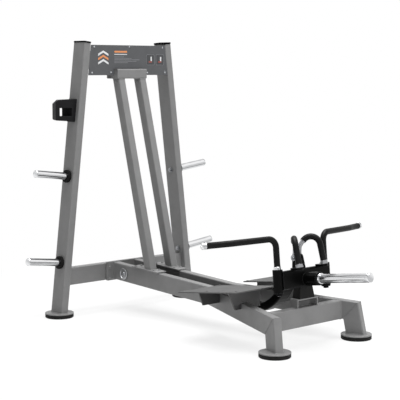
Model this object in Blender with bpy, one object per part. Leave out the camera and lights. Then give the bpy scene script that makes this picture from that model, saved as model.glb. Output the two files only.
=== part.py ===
"""T-bar row machine with plate storage: a free standing frame of rectangular
steel tube with a lever arm that swings on an axle between two low rails.
Metres, +Z up. The user faces -Y, the leaning uprights stand at +Y, and
X = 0 is the plane of symmetry. Heights are measured from the floor."""
import bpy
import bmesh
import math
from mathutils import Matrix, Vector

# Clearance and rounding shared by all pieces
CLEAR = 0.0003
TURN_STEPS = 24
FOOT_TURN_STEPS = 32
SMALL_TURN_STEPS = 16
CORNER_STEPS = 2
PLATE_CORNER_STEPS = 3
SMOOTH_ANGLE = 30

# Rectangular frame tube
TUBE_WIDE = 0.050
TUBE_DEEP = 0.108
TUBE_WALL = 0.003
TUBE_ROUND = 0.006

# Feet: steel disc on a rubber pad
FOOT_RADIUS = 0.0878
PAD_THICK = 0.022
PAD_EDGE = 0.004
PAD_INSET = 0.0008
DISC_THICK = 0.0075
DISC_EDGE = 0.0015
FOOT_TOP = PAD_THICK + CLEAR + DISC_THICK

# Leaning uprights, front face at Y = 0
UPRIGHT_OUT_FLOOR = 0.5243
UPRIGHT_OUT_TOP = 0.3231
UPRIGHT_HEIGHT = 1.676
UPRIGHT_MID_Y = TUBE_DEEP / 2
UPRIGHT_LEAN = math.atan2(UPRIGHT_OUT_FLOOR - UPRIGHT_OUT_TOP, UPRIGHT_HEIGHT)
CAP_THICK = 0.0035
CAP_PLUG = 0.018
CAP_EDGE = 0.001

# Rear crossbeam and the plate that carries the rails
REAR_BEAM_MID_Y = 0.064
REAR_BEAM_MID_Z = 0.2435
END_PLATE_THICK = 0.010
END_PLATE_HALF_WIDE = 0.168
END_PLATE_LOW = 0.186
END_PLATE_HIGH = 0.304
END_PLATE_ROUND = 0.008

# Rails: straight part, then spread outward to the front legs
RAIL_MID_X = 0.0853
RAIL_MID_Z_AT_REAR = 0.2440
RAIL_FALL = 0.0536
RAIL_BEND_Y = -0.846
RAIL_SPREAD = math.radians(18.5)
LEG_FOOT_RUN = 0.7788
LEG_RAKE = math.radians(11.2)

# Front crossbeam between the spread rails
FRONT_BEAM_BEHIND_FOOT = 0.069055
FRONT_BEAM_FACE_Y = RAIL_BEND_Y - LEG_FOOT_RUN * math.cos(RAIL_SPREAD) + FRONT_BEAM_BEHIND_FOOT
FRONT_BEAM_TOP_Z = 0.2160

# Top crossbeam, sign panel and the head of the struts
PANEL_THICK = 0.003
PANEL_BELOW_TOP = 0.018
PANEL_TALL = 0.185
PANEL_HIGH = UPRIGHT_HEIGHT - PANEL_BELOW_TOP
PANEL_LOW = PANEL_HIGH - PANEL_TALL
PANEL_SIDE_GAP = 0.001
TOP_BEAM_ABOVE_PANEL_LOW = 0.039
TOP_BEAM_LOW = PANEL_LOW + TOP_BEAM_ABOVE_PANEL_LOW
HEAD_HALF_WIDE = 0.118
HEAD_FRONT_Y = -0.0315
HEAD_BELOW_PANEL = 0.0213
HEAD_LOW = PANEL_LOW - HEAD_BELOW_PANEL
HEAD_NOTCH_GAP = 0.0015
HEAD_PLATE_THICK = 0.008
HEAD_PLATE_HALF_WIDE = 0.129
HEAD_PLATE_TALL = 0.1483
HEAD_PLATE_HIGH = HEAD_LOW + HEAD_PLATE_TALL

# Struts from the head down to the rails
STRUT_DEEP = 0.061
STRUT_BELOW_HEAD = 0.009
STRUT_TOP_LEVEL = HEAD_LOW - STRUT_BELOW_HEAD
STRUT_FRONT_Y_AT_TOP = -0.036
STRUT_FOOT_LEVEL = 0.290
STRUT_FRONT_Y_AT_FOOT = -0.3288
STRUT_LEAN = math.atan2(STRUT_FRONT_Y_AT_TOP - STRUT_FRONT_Y_AT_FOOT,
                        STRUT_TOP_LEVEL - STRUT_FOOT_LEVEL)
BASE_PLATE_THICK = 0.008
BASE_PLATE_HALF_WIDE = 0.038
BASE_PLATE_REAR_Y = -0.155
BASE_PLATE_FRONT_Y = -0.398
BASE_PLATE_ROUND = 0.006

# Plate storage pegs on the uprights
PEG_RADIUS = 0.023
PEG_REACH = 0.245
PEG_TIP_EDGE = 0.003
PEG_LEVELS = (("lower", 0.333), ("upper", 0.857))
PEG_STUD_RADIUS = 0.008
PEG_STUD_PAST_NUT = 0.004
PEG_NUT_RADIUS = 0.0135
PEG_NUT_THICK = 0.010
PEG_WASHER_RADIUS = 0.016
PEG_WASHER_THICK = 0.003
COLLAR_RADIUS = 0.037
COLLAR_THICK = 0.011
COLLAR_EDGE = 0.002

# Accessory holder on the left upright
HOLDER_LOW = 1.193
HOLDER_TALL = 0.135
HOLDER_HIGH = HOLDER_LOW + HOLDER_TALL
HOLDER_FRONT_Y = 0.030
HOLDER_DEEP = 0.075
# Reach from the upright, lowest and highest level of the holder's outer end
HOLDER_FRONT_END = (0.150, HOLDER_LOW + 0.010, HOLDER_HIGH - 0.009)
HOLDER_REAR_END = (0.120, HOLDER_LOW + 0.012, HOLDER_HIGH - 0.022)
HOLDER_CORNER = 0.005
HOLDER_SHOULDER = 0.032
HOLDER_SHOULDER_DROP = 0.002
HOLDER_WINDOW_NEAR = 0.028
HOLDER_WINDOW_NEAR_SLANT = 0.27
HOLDER_WINDOW_WALL = 0.030
HOLDER_WINDOW_LOW = HOLDER_LOW + 0.034
HOLDER_WINDOW_TALL = 0.050
HOLDER_WINDOW_HIGH = HOLDER_WINDOW_LOW + HOLDER_WINDOW_TALL

# Pivot between the rails
PIVOT_Y = -0.072
PIVOT_Z = 0.236
AXLE_RADIUS = 0.0125
AXLE_EDGE = 0.001
BUSH_RADIUS = 0.0185
BUSH_FLANGE_RADIUS = 0.026
BUSH_FLANGE_THICK = 0.003
BUSH_LENGTH = 0.024
HUB_RADIUS = 0.032
PIVOT_CAP_RADIUS = 0.035
PIVOT_CAP_THICK = 0.009
PIVOT_CAP_EDGE = 0.002
PIVOT_CAP_RIM = 0.007
PIVOT_CAP_DISH = 0.003
PIVOT_CAP_HEAD_RADIUS = 0.010

# Carriage over the front crossbeam, tipped back by a few degrees
CARRIAGE_TIP = math.radians(5.5)
CARRIAGE_BEHIND_FRONT_BEAM = 0.0435
CARRIAGE_Y = FRONT_BEAM_FACE_Y + CARRIAGE_BEHIND_FRONT_BEAM
CARRIAGE_Z = 0.3726

# Lever arm: straight tube, then a rolled bend up to the carriage
ARM_WIDE = 0.086
ARM_DEEP = 0.048
ARM_WALL = 0.004
ARM_ROUND = 0.007
ARM_BEND_BEHIND_CARRIAGE = 0.350
ARM_BEND_ABOVE_CARRIAGE = 0.0484
ARM_BEND_CENTRE_Y = CARRIAGE_Y + ARM_BEND_BEHIND_CARRIAGE
ARM_BEND_CENTRE_Z = CARRIAGE_Z + ARM_BEND_ABOVE_CARRIAGE
ARM_BEND_RADIUS = 0.258
ARM_END_RISE = math.radians(66.0)
ARM_RISE_RUN = 0.008
ARM_NECK_RADIUS = 0.060
ARM_BEND_STEPS = 12
ARM_NECK_STEPS = 6

# Cross tube and sleeves of the carriage, measured from its middle
SLEEVE_OUT = 0.191
SLEEVE_RADIUS = 0.028
SLEEVE_HALF_HIGH = 0.064
SLEEVE_EDGE = 0.002
BEAM_HALF_WIDE = 0.186
BEAM_REAR = 0.006
BEAM_FRONT = 0.037
BEAM_LOW = -0.0475
BEAM_HIGH = 0.0550
BEAM_ROUND = 0.009
EAR_HALF_WIDE = 0.0205
EAR_THICK = 0.012
EAR_SINK = 0.001
EAR_ROOT = 0.030
EAR_STEPS = 8
LUG_HALF_THICK = 0.006
LUG_BEHIND_CARRIAGE = 0.069
LUG_REAR_Y = CARRIAGE_Y + LUG_BEHIND_CARRIAGE
LUG_FRONT_ON_BEAM = 0.026
LUG_TOP_LONG = 0.067
LUG_FRONT_TOP_Y = LUG_REAR_Y - LUG_TOP_LONG
LUG_ABOVE_CARRIAGE = 0.1314
LUG_TOP_Z = CARRIAGE_Z + LUG_ABOVE_CARRIAGE
LUG_ROUND = 0.012
LUG_CORNER_STEPS = 4

# Weight sleeve for plates, rising slightly to the front
HORN_RISE = math.radians(7.7)
HORN_BELOW_CARRIAGE = 0.0018
HORN_ROOT_Z = CARRIAGE_Z - HORN_BELOW_CARRIAGE
HORN_ROOT_Y = CARRIAGE_Y - BEAM_FRONT
BOSS_RADIUS = 0.038
BOSS_LENGTH = 0.095
BOSS_EDGE = 0.004
BOSS_ROOT_DEPTH = 0.020
HORN_RADIUS = 0.0255
HORN_REACH = 0.450
HORN_RING_RADIUS = 0.0295
HORN_RING_LENGTH = 0.014
HORN_RING_EDGE = 0.002
HORN_TENON_RADIUS = 0.020
HORN_TENON_DEPTH = 0.055
HORN_TIP_EDGE = 0.004

# Swivelling outer handles: riser, elbow, grip with a slight second bend
BAR_RADIUS = 0.0135
BAR_OVERLAP = 0.004
GRIP_RADIUS = 0.0172
RISER_HEIGHT = 0.2324
ELBOW_RADIUS = 0.048
ELBOW_STEPS = 6
GRIP_SWEEP = math.radians(9.8)
GRIP_BEND_AT = 0.287
GRIP_BEND_RADIUS = 0.120
GRIP_END_SWEEP = math.radians(19.9)
GRIP_END_REACH = 0.173
BAR_END_RADIUS = 0.0182
BAR_END_LENGTH = 0.026
BAR_COLLAR_RADIUS = 0.0195
BAR_COLLAR_THICK = 0.016
LOCK_WASHER_RADIUS = 0.0255
LOCK_WASHER_THICK = 0.004
LOCK_NUT_RADIUS = 0.015
LOCK_NUT_THICK = 0.010
SPIGOT_RADIUS = 0.0155

# Fixed inner handles: arch from a collar on the ear back to the lug
INNER_FOOT_X = 0.100
INNER_FOOT_FORWARD = 0.0793
INNER_BAR_RADIUS = 0.0120
INNER_PEAK_OUT = 0.0265
INNER_PEAK_ALONG = 0.0524
INNER_PEAK_UP = 0.2275
INNER_ARCH_RADIUS = 0.0511
INNER_KNEE_ALONG = 0.1267
INNER_KNEE_UP = 0.0949
INNER_KNEE_RADIUS = 0.030
INNER_END_FROM_LUG_REAR = 0.030
INNER_END_BELOW_LUG_TOP = 0.024
INNER_END_Y = LUG_REAR_Y - INNER_END_FROM_LUG_REAR
INNER_END_Z = LUG_TOP_Z - INNER_END_BELOW_LUG_TOP
INNER_STEPS = 8
INNER_COLLAR_RADIUS = 0.0205
INNER_COLLAR_THICK = 0.020
INNER_GRIP_POINTS = 9

# Bumper and its bracket on the front crossbeam
BRACKET_HALF_WIDE = 0.082
BRACKET_TOP_Z = 0.264
BRACKET_WALL = 0.006
BRACKET_DEEP = 0.056
BUMPER_BEFORE_CARRIAGE = 0.041
BUMPER_LONG = 0.058
BUMPER_FRONT_TAPER = 0.0085
BUMPER_FRONT_Y = CARRIAGE_Y - BUMPER_BEFORE_CARRIAGE
BUMPER_REAR_Y = BUMPER_FRONT_Y + BUMPER_LONG
BUMPER_HALF_FOOT = 0.061
BUMPER_HALF_TOP = 0.0505
BUMPER_EDGE = 0.003
BUMPER_EDGE_STEPS = 2

# Standing plates beside the rails
STEP_INNER_X = 0.098
STEP_OUTER_X = 0.417
STEP_REAR_Y = -0.916
STEP_REAR_Z = 0.271
STEP_FRONT_Y = -1.375
STEP_FRONT_Z = 0.327
STEP_THICK = 0.006
STEP_ROUND = 0.004
GUSSET_THICK = 0.008
# Each gusset: Y, lowest Z, inner X, outer X at the plate, outer X at the foot
GUSSET_PLACES = ((-0.980, 0.186, 0.1545, 0.325, 0.287), (-1.240, 0.196, 0.096, 0.350, 0.290))

# Left side is -1, right side is +1
SIDES = (("left", -1.0), ("right", 1.0))


def clear_scene():
    for old in list(bpy.data.objects):
        bpy.data.objects.remove(old, do_unlink=True)


def make_material(name, colour, roughness, metallic):
    material = bpy.data.materials.new(name)
    material.use_nodes = True
    shader = material.node_tree.nodes["Principled BSDF"]
    shader.inputs["Base Color"].default_value = (*colour, 1.0)
    shader.inputs["Roughness"].default_value = roughness
    shader.inputs["Metallic"].default_value = metallic
    material.diffuse_color = (*colour, 1.0)
    return material


def grey_powder_coat(name):
    return make_material(name, (0.21, 0.21, 0.21), 0.42, 0.25)


def black_powder_coat(name):
    return make_material(name, (0.018, 0.018, 0.019), 0.30, 0.1)


def chrome_plate(name):
    return make_material(name, (0.62, 0.62, 0.63), 0.10, 1.0)


def black_rubber(name):
    return make_material(name, (0.020, 0.020, 0.020), 0.62, 0.0)


def black_plastic(name):
    return make_material(name, (0.016, 0.016, 0.016), 0.45, 0.0)


def bare_steel(name):
    return make_material(name, (0.36, 0.36, 0.37), 0.28, 1.0)


def panel_finish(name):
    return make_material(name, (0.102, 0.105, 0.110), 0.45, 0.0)


def bronze(name):
    return make_material(name, (0.42, 0.27, 0.12), 0.35, 1.0)


def add_mesh(name, bm, material, smooth_angle=None):
    bmesh.ops.recalc_face_normals(bm, faces=bm.faces)
    mesh = bpy.data.meshes.new(name)
    bm.to_mesh(mesh)
    bm.free()
    mesh.materials.append(material(name + "_finish"))
    thing = bpy.data.objects.new(name, mesh)
    bpy.context.scene.collection.objects.link(thing)
    if smooth_angle is not None:
        for face in mesh.polygons:
            face.use_smooth = True
        mesh.set_sharp_from_angle(angle=math.radians(smooth_angle))
    return thing


def rounded_rectangle(wide, deep, radius):
    """Outline of a rounded rectangle as (a, b) pairs, corner by corner."""
    outline = []
    for corner in range(4):
        start = corner * math.pi / 2
        across = (1, -1, -1, 1)[corner] * (wide / 2 - radius)
        along = (1, 1, -1, -1)[corner] * (deep / 2 - radius)
        for step in range(CORNER_STEPS + 1):
            angle = start + step * math.pi / 2 / CORNER_STEPS
            outline.append((across + radius * math.cos(angle), along + radius * math.sin(angle)))
    return outline


def circle(radius, steps):
    turn = 2 * math.pi / steps
    return [(radius * math.cos(turn * i), radius * math.sin(turn * i)) for i in range(steps)]


def loop_in_frame(outline, origin, first, second):
    return [origin + first * a + second * b for a, b in outline]


def loop_on_plane(outline, origin, along, first, second, plane_point, plane_normal):
    """Slides each outline point along the tube until it lies on the cutting plane."""
    loop = []
    for a, b in outline:
        start = origin + first * a + second * b
        slide = (plane_point - start).dot(plane_normal) / along.dot(plane_normal)
        loop.append(start + along * slide)
    return loop


def loft(outer_loops, inner_loops=None):
    """Closed solid through equal loops; with inner loops it is a tube open at both ends."""
    bm = bmesh.new()
    count = len(outer_loops[0])
    outer = [[bm.verts.new(point) for point in loop] for loop in outer_loops]
    inner = None
    if inner_loops:
        inner = [[bm.verts.new(point) for point in loop] for loop in inner_loops]
    for rows in (outer, inner):
        if rows is None:
            continue
        for low, high in zip(rows, rows[1:]):
            for i in range(count):
                j = (i + 1) % count
                bm.faces.new((low[i], low[j], high[j], high[i]))
    for end in (0, -1):
        if inner is None:
            bm.faces.new(outer[end])
            continue
        for i in range(count):
            j = (i + 1) % count
            bm.faces.new((outer[end][i], outer[end][j], inner[end][j], inner[end][i]))
    return bm


def turned(profile, steps, origin, axis):
    """Solid of revolution from (radius, height) pairs; radius 0 only at the ends."""
    axis = axis.normalized()
    helper = Vector((0, 0, 1)) if abs(axis.z) < 0.9 else Vector((1, 0, 0))
    first = axis.cross(helper).normalized()
    second = axis.cross(first)
    bm = bmesh.new()
    rows = []
    for radius, height in profile:
        centre = origin + axis * height
        if radius == 0:
            rows.append([bm.verts.new(centre)])
            continue
        rows.append([bm.verts.new(point)
                     for point in loop_in_frame(circle(radius, steps), centre, first, second)])
    for low, high in zip(rows, rows[1:]):
        for i in range(steps):
            j = (i + 1) % steps
            corners = [low[i % len(low)], low[j % len(low)], high[j % len(high)], high[i % len(high)]]
            bm.faces.new(list(dict.fromkeys(corners)))
    return bm


def turned_ring(profile, steps, origin, axis):
    """Ring of revolution: the (radius, height) profile closes on itself."""
    axis = axis.normalized()
    helper = Vector((0, 0, 1)) if abs(axis.z) < 0.9 else Vector((1, 0, 0))
    first = axis.cross(helper).normalized()
    second = axis.cross(first)
    bm = bmesh.new()
    rows = []
    for radius, height in profile:
        centre = origin + axis * height
        rows.append([bm.verts.new(point)
                     for point in loop_in_frame(circle(radius, steps), centre, first, second)])
    for low, high in zip(rows, rows[1:] + rows[:1]):
        for i in range(steps):
            j = (i + 1) % steps
            bm.faces.new((low[i], low[j], high[j], high[i]))
    return bm


def rounded_path(points, radii, steps):
    """Points of a polyline whose inner corners are replaced by arcs of the given radii."""
    path = [points[0]]
    for before, corner, after, radius in zip(points, points[1:], points[2:], radii):
        toward = (before - corner).normalized()
        away = (after - corner).normalized()
        half = toward.angle(away) / 2
        reach = radius / math.tan(half)
        centre = corner + (toward + away).normalized() * (radius / math.sin(half))
        start = corner + toward * reach - centre
        finish = corner + away * reach - centre
        normal = start.cross(finish).normalized()
        sweep = start.angle(finish)
        for step in range(steps + 1):
            path.append(centre + Matrix.Rotation(sweep * step / steps, 3, normal) @ start)
    path.append(points[-1])
    return path


def path_frames(path):
    """Position and two cross axes at each path point, carried along without twist."""
    tangents = []
    for i in range(len(path)):
        before = path[max(i - 1, 0)]
        after = path[min(i + 1, len(path) - 1)]
        tangents.append((after - before).normalized())
    helper = Vector((1, 0, 0)) if abs(tangents[0].x) < 0.9 else Vector((0, 1, 0))
    first = (helper - tangents[0] * helper.dot(tangents[0])).normalized()
    frames = []
    for point, tangent in zip(path, tangents):
        first = (first - tangent * first.dot(tangent)).normalized()
        frames.append((point, first, tangent.cross(first)))
    return frames


def round_sweep(path, radius, steps, inner_radius=None, count=None):
    """Round bar or tube along the first count points of a path, or all of them."""
    frames = path_frames(path)[:count]
    outer = [loop_in_frame(circle(radius, steps), *frame) for frame in frames]
    if inner_radius is None:
        return loft(outer)
    inner = [loop_in_frame(circle(inner_radius, steps), *frame) for frame in frames]
    return loft(outer, inner)


def box_mesh(low, high):
    bm = bmesh.new()
    bmesh.ops.create_cube(bm, size=1.0)
    for vert in bm.verts:
        for axis in range(3):
            vert.co[axis] = low[axis] if vert.co[axis] < 0 else high[axis]
    return bm


def bevel_edges(bm, width, steps, choose):
    edges = [edge for edge in bm.edges if choose(edge)]
    bmesh.ops.bevel(bm, geom=edges, offset=width, segments=steps, profile=0.5, affect="EDGES")
    return bm


def extrude_outline(outline, thickness, place):
    """Prism from a flat outline; place maps (a, b, height) to a point in space."""
    low = [place(a, b, 0.0) for a, b in outline]
    high = [place(a, b, thickness) for a, b in outline]
    return loft([low, high])


def combine(target, other, operation):
    """Exact Boolean of two scene objects; the second one is removed afterwards."""
    modifier = target.modifiers.new("combine", "BOOLEAN")
    modifier.operation = operation
    modifier.solver = "EXACT"
    modifier.object = other
    bpy.context.view_layer.update()
    evaluated = target.evaluated_get(bpy.context.evaluated_depsgraph_get())
    mesh = bpy.data.meshes.new_from_object(evaluated)
    target.modifiers.clear()
    old = target.data
    target.data = mesh
    bpy.data.meshes.remove(old)
    bpy.data.objects.remove(other, do_unlink=True)
    return target


def shade_round(thing, smooth_angle):
    for face in thing.data.polygons:
        face.use_smooth = True
    thing.data.set_sharp_from_angle(angle=math.radians(smooth_angle))
    return thing


def upright_centre(side, height):
    share = height / UPRIGHT_HEIGHT
    out = UPRIGHT_OUT_FLOOR + (UPRIGHT_OUT_TOP - UPRIGHT_OUT_FLOOR) * share
    return Vector((side * out, UPRIGHT_MID_Y, height))


def upright_axes(side):
    along = Vector((-side * math.sin(UPRIGHT_LEAN), 0, math.cos(UPRIGHT_LEAN)))
    outward = Vector((side * math.cos(UPRIGHT_LEAN), 0, math.sin(UPRIGHT_LEAN)))
    return along, outward


def frame_tube_outlines(wide=TUBE_WIDE, deep=TUBE_DEEP, wall=TUBE_WALL, radius=TUBE_ROUND):
    outer = rounded_rectangle(wide, deep, radius)
    inner = rounded_rectangle(wide - 2 * wall, deep - 2 * wall, radius - wall)
    return outer, inner


def straight_tube(outlines, origin, along, first, second, cut_low, cut_high):
    """Tube between two cutting planes, each given as (point, normal)."""
    loops = []
    for outline in outlines:
        loops.append([loop_on_plane(outline, origin, along, first, second, *cut)
                      for cut in (cut_low, cut_high)])
    return loft(*loops)


def build_upright(word, side):
    along, outward = upright_axes(side)
    floor_cut = (Vector((0, 0, FOOT_TOP + CLEAR)), Vector((0, 0, 1)))
    top_cut = (upright_centre(side, UPRIGHT_HEIGHT), along)
    bm = straight_tube(frame_tube_outlines(), upright_centre(side, 0), along, outward,
                       Vector((0, 1, 0)), floor_cut, top_cut)
    upright = add_mesh(word + "_upright", bm, grey_powder_coat)
    for _, level in PEG_LEVELS:
        centre = upright_centre(side, level)
        reach = TUBE_WIDE
        hole = turned([(0, -reach), (PEG_STUD_RADIUS + CLEAR, -reach),
                       (PEG_STUD_RADIUS + CLEAR, reach), (0, reach)],
                      SMALL_TURN_STEPS, centre, outward)
        combine(upright, add_mesh("hole", hole, grey_powder_coat), "DIFFERENCE")
    return shade_round(upright, SMOOTH_ANGLE)


def build_upright_cap(word, side):
    along, outward = upright_axes(side)
    top = upright_centre(side, UPRIGHT_HEIGHT)
    plug = rounded_rectangle(TUBE_WIDE - 2 * TUBE_WALL - 2 * CLEAR,
                             TUBE_DEEP - 2 * TUBE_WALL - 2 * CLEAR, TUBE_ROUND - TUBE_WALL)
    cover = rounded_rectangle(TUBE_WIDE, TUBE_DEEP, TUBE_ROUND)
    brim = rounded_rectangle(TUBE_WIDE - 2 * CAP_EDGE, TUBE_DEEP - 2 * CAP_EDGE,
                             TUBE_ROUND - CAP_EDGE)
    levels = ((plug, -CAP_PLUG), (plug, CLEAR), (cover, CLEAR),
              (cover, CAP_THICK - CAP_EDGE), (brim, CAP_THICK))
    loops = [loop_in_frame(outline, top + along * height, outward, Vector((0, 1, 0)))
             for outline, height in levels]
    return add_mesh(word + "_upright_cap", loft(loops), black_plastic, SMOOTH_ANGLE)


def foot_places():
    places = []
    for word, side in SIDES:
        rear = upright_centre(side, FOOT_TOP)
        places.append((word + "_rear", Vector((rear.x, rear.y, 0))))
        front = spread_point(side, LEG_FOOT_RUN)
        places.append((word + "_front", Vector((front.x, front.y, 0))))
    return places


def build_foot(word, place):
    up = Vector((0, 0, 1))
    pad_radius = FOOT_RADIUS - PAD_INSET
    pad = [(0, 0), (pad_radius - PAD_EDGE, 0), (pad_radius, PAD_EDGE),
           (pad_radius, PAD_THICK - PAD_EDGE / 4), (pad_radius - PAD_EDGE / 4, PAD_THICK),
           (0, PAD_THICK)]
    add_mesh(word + "_foot_pad", turned(pad, FOOT_TURN_STEPS, place, up), black_rubber, SMOOTH_ANGLE)
    low = PAD_THICK + CLEAR
    disc = [(0, low), (FOOT_RADIUS - DISC_EDGE, low), (FOOT_RADIUS, low + DISC_EDGE),
            (FOOT_RADIUS, FOOT_TOP - DISC_EDGE), (FOOT_RADIUS - DISC_EDGE, FOOT_TOP),
            (0, FOOT_TOP)]
    add_mesh(word + "_foot_disc", turned(disc, FOOT_TURN_STEPS, place, up), grey_powder_coat, SMOOTH_ANGLE)


def build_cross_tube(name, mid_y, low_z):
    """Crossbeam between the inner faces of the leaning uprights."""
    along = Vector((1, 0, 0))
    mid = Vector((0, mid_y, low_z + TUBE_DEEP / 2))
    cuts = []
    for _, side in SIDES:
        _, outward = upright_axes(side)
        face = upright_centre(side, mid.z) - outward * (TUBE_WIDE / 2 + CLEAR)
        cuts.append((face, outward))
    bm = straight_tube(frame_tube_outlines(), mid, along, Vector((0, 1, 0)),
                       Vector((0, 0, 1)), *cuts)
    return add_mesh(name, bm, grey_powder_coat, SMOOTH_ANGLE)


def build_panel():
    """Sign panel flush with the front of the uprights, notched over the strut head."""
    notch_wide = HEAD_HALF_WIDE + HEAD_NOTCH_GAP
    notch_high = TOP_BEAM_LOW - CLEAR + HEAD_NOTCH_GAP
    half = []
    for level in (PANEL_LOW, PANEL_HIGH):
        inner_face = upright_centre(1, level).x - TUBE_WIDE / 2 / math.cos(UPRIGHT_LEAN)
        half.append((inner_face - PANEL_SIDE_GAP, level))
    right = [half[0], half[1]]
    left = [(-half[1][0], half[1][1]), (-half[0][0], half[0][1])]
    notch = [(-notch_wide, PANEL_LOW), (-notch_wide, notch_high),
             (notch_wide, notch_high), (notch_wide, PANEL_LOW)]
    outline = right + left + notch
    bm = extrude_outline(outline, PANEL_THICK, lambda a, b, h: Vector((a, h, b)))
    return add_mesh("sign_panel", bm, panel_finish)


def build_strut_head():
    top_beam_rear = PANEL_THICK + CLEAR + TUBE_WIDE
    head_high = TOP_BEAM_LOW - CLEAR
    middle = Vector((0, (HEAD_FRONT_Y + top_beam_rear) / 2, (HEAD_LOW + head_high) / 2))
    outlines = frame_tube_outlines(top_beam_rear - HEAD_FRONT_Y, head_high - HEAD_LOW)
    cuts = [(Vector((x, 0, 0)), Vector((1, 0, 0))) for x in (-HEAD_HALF_WIDE, HEAD_HALF_WIDE)]
    bm = straight_tube(outlines, middle, Vector((1, 0, 0)), Vector((0, 1, 0)),
                       Vector((0, 0, 1)), *cuts)
    add_mesh("strut_head", bm, grey_powder_coat, SMOOTH_ANGLE)
    low = Vector((-HEAD_PLATE_HALF_WIDE, top_beam_rear + CLEAR, HEAD_LOW))
    high = Vector((HEAD_PLATE_HALF_WIDE, low.y + HEAD_PLATE_THICK, HEAD_PLATE_HIGH))
    plate = bevel_edges(box_mesh(low, high), BASE_PLATE_ROUND, PLATE_CORNER_STEPS,
                        lambda edge: abs((edge.verts[0].co - edge.verts[1].co).y) > CLEAR)
    add_mesh("strut_head_plate", plate, grey_powder_coat, SMOOTH_ANGLE)


def rail_axes():
    along = Vector((0, -1, -RAIL_FALL)).normalized()
    above = Vector((0, -RAIL_FALL, 1)).normalized()
    return along, above


def rail_point(side, y):
    return Vector((side * RAIL_MID_X, y, RAIL_MID_Z_AT_REAR + RAIL_FALL * y))


def spread_direction(side):
    return Vector((side * math.sin(RAIL_SPREAD), -math.cos(RAIL_SPREAD), 0))


def spread_frame(side):
    """Direction of the spread part of a rail and the directions across and above it."""
    along, above = rail_axes()
    start = spread_point(side, 0.0)
    spread = (spread_point(side, 1.0) - start).normalized()
    turn = along.rotation_difference(spread)
    return spread, turn @ Vector((side, 0, 0)), turn @ above


def spread_point(side, run):
    """Point on the axis of the spread part of a rail, by plan distance from the bend."""
    point = rail_point(side, RAIL_BEND_Y) + spread_direction(side) * run
    point.z = RAIL_MID_Z_AT_REAR + RAIL_FALL * point.y
    return point


def leg_axis(side):
    """Foot point and direction of a front leg, and where its axis meets the rail axis."""
    forward = spread_direction(side)
    foot = spread_point(side, LEG_FOOT_RUN)
    foot.z = FOOT_TOP
    rail, across, _ = spread_frame(side)
    upward = Vector((0, 0, 1)) * math.cos(LEG_RAKE) - forward * math.sin(LEG_RAKE)
    upward = (upward - across * upward.dot(across)).normalized()
    start = spread_point(side, 0.0)
    normal = upward.cross(rail)
    lift = (start - foot).cross(rail).dot(normal) / normal.length_squared
    return foot, upward, foot + upward * lift


def rail_loops(side, grow=0.0):
    """Outline loops of one rail at its rear end, at the bend and at the leg mitre."""
    outward = Vector((side, 0, 0))
    along, above = rail_axes()
    spread, _, _ = spread_frame(side)
    _, upward, corner = leg_axis(side)
    rear_y = REAR_BEAM_MID_Y - TUBE_WIDE / 2 - 2 * CLEAR - END_PLATE_THICK + grow
    bend = rail_point(side, RAIL_BEND_Y)
    bend_normal = (along + spread).normalized()
    mitre_normal = (spread - upward).normalized()
    mitre_point = corner - mitre_normal * (CLEAR / 2)
    outlines = frame_tube_outlines()
    if grow:
        outlines = (rounded_rectangle(TUBE_WIDE + 2 * grow, TUBE_DEEP + 2 * grow, TUBE_ROUND),)
    loops = []
    for outline in outlines:
        rear = loop_on_plane(outline, bend, along, outward, above,
                             Vector((0, rear_y, 0)), Vector((0, 1, 0)))
        middle = loop_on_plane(outline, bend, along, outward, above, bend, bend_normal)
        front = []
        for point in middle:
            slide = (mitre_point - point).dot(mitre_normal) / spread.dot(mitre_normal)
            front.append(point + spread * slide)
        loops.append([rear, middle, front])
    return loops


def build_rail(word, side):
    rail = add_mesh(word + "_rail", loft(*rail_loops(side)), grey_powder_coat)
    hole = turned([(0, -TUBE_WIDE), (AXLE_RADIUS + CLEAR, -TUBE_WIDE),
                   (AXLE_RADIUS + CLEAR, TUBE_WIDE), (0, TUBE_WIDE)],
                  SMALL_TURN_STEPS, Vector((side * RAIL_MID_X, PIVOT_Y, PIVOT_Z)),
                  Vector((1, 0, 0)))
    combine(rail, add_mesh("hole", hole, grey_powder_coat), "DIFFERENCE")
    return shade_round(rail, SMOOTH_ANGLE)


def build_front_leg(word, side):
    foot, upward, corner = leg_axis(side)
    spread, across, _ = spread_frame(side)
    mitre_normal = (spread - upward).normalized()
    mitre_cut = (corner + mitre_normal * (CLEAR / 2), mitre_normal)
    floor_cut = (Vector((0, 0, FOOT_TOP + CLEAR)), Vector((0, 0, 1)))
    bm = straight_tube(frame_tube_outlines(), foot, upward, across, upward.cross(across),
                       floor_cut, mitre_cut)
    return add_mesh(word + "_front_leg", bm, grey_powder_coat, SMOOTH_ANGLE)


def build_front_crossbeam():
    mid = Vector((0, FRONT_BEAM_FACE_Y + TUBE_WIDE / 2, FRONT_BEAM_TOP_Z - TUBE_DEEP / 2))
    cuts = []
    for _, side in SIDES:
        _, across, _ = spread_frame(side)
        cuts.append((spread_point(side, 0.0) - across * (TUBE_WIDE / 2 + CLEAR), across))
    bm = straight_tube(frame_tube_outlines(), mid, Vector((1, 0, 0)), Vector((0, 1, 0)),
                       Vector((0, 0, 1)), *cuts)
    return add_mesh("front_crossbeam", bm, grey_powder_coat, SMOOTH_ANGLE)


def build_rail_end_plate():
    front = REAR_BEAM_MID_Y - TUBE_WIDE / 2 - CLEAR - END_PLATE_THICK
    low = Vector((-END_PLATE_HALF_WIDE, front, END_PLATE_LOW))
    high = Vector((END_PLATE_HALF_WIDE, front + END_PLATE_THICK, END_PLATE_HIGH))
    plate = bevel_edges(box_mesh(low, high), END_PLATE_ROUND, PLATE_CORNER_STEPS,
                        lambda edge: abs((edge.verts[0].co - edge.verts[1].co).y) > CLEAR)
    return add_mesh("rail_end_plate", plate, grey_powder_coat, SMOOTH_ANGLE)


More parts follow.
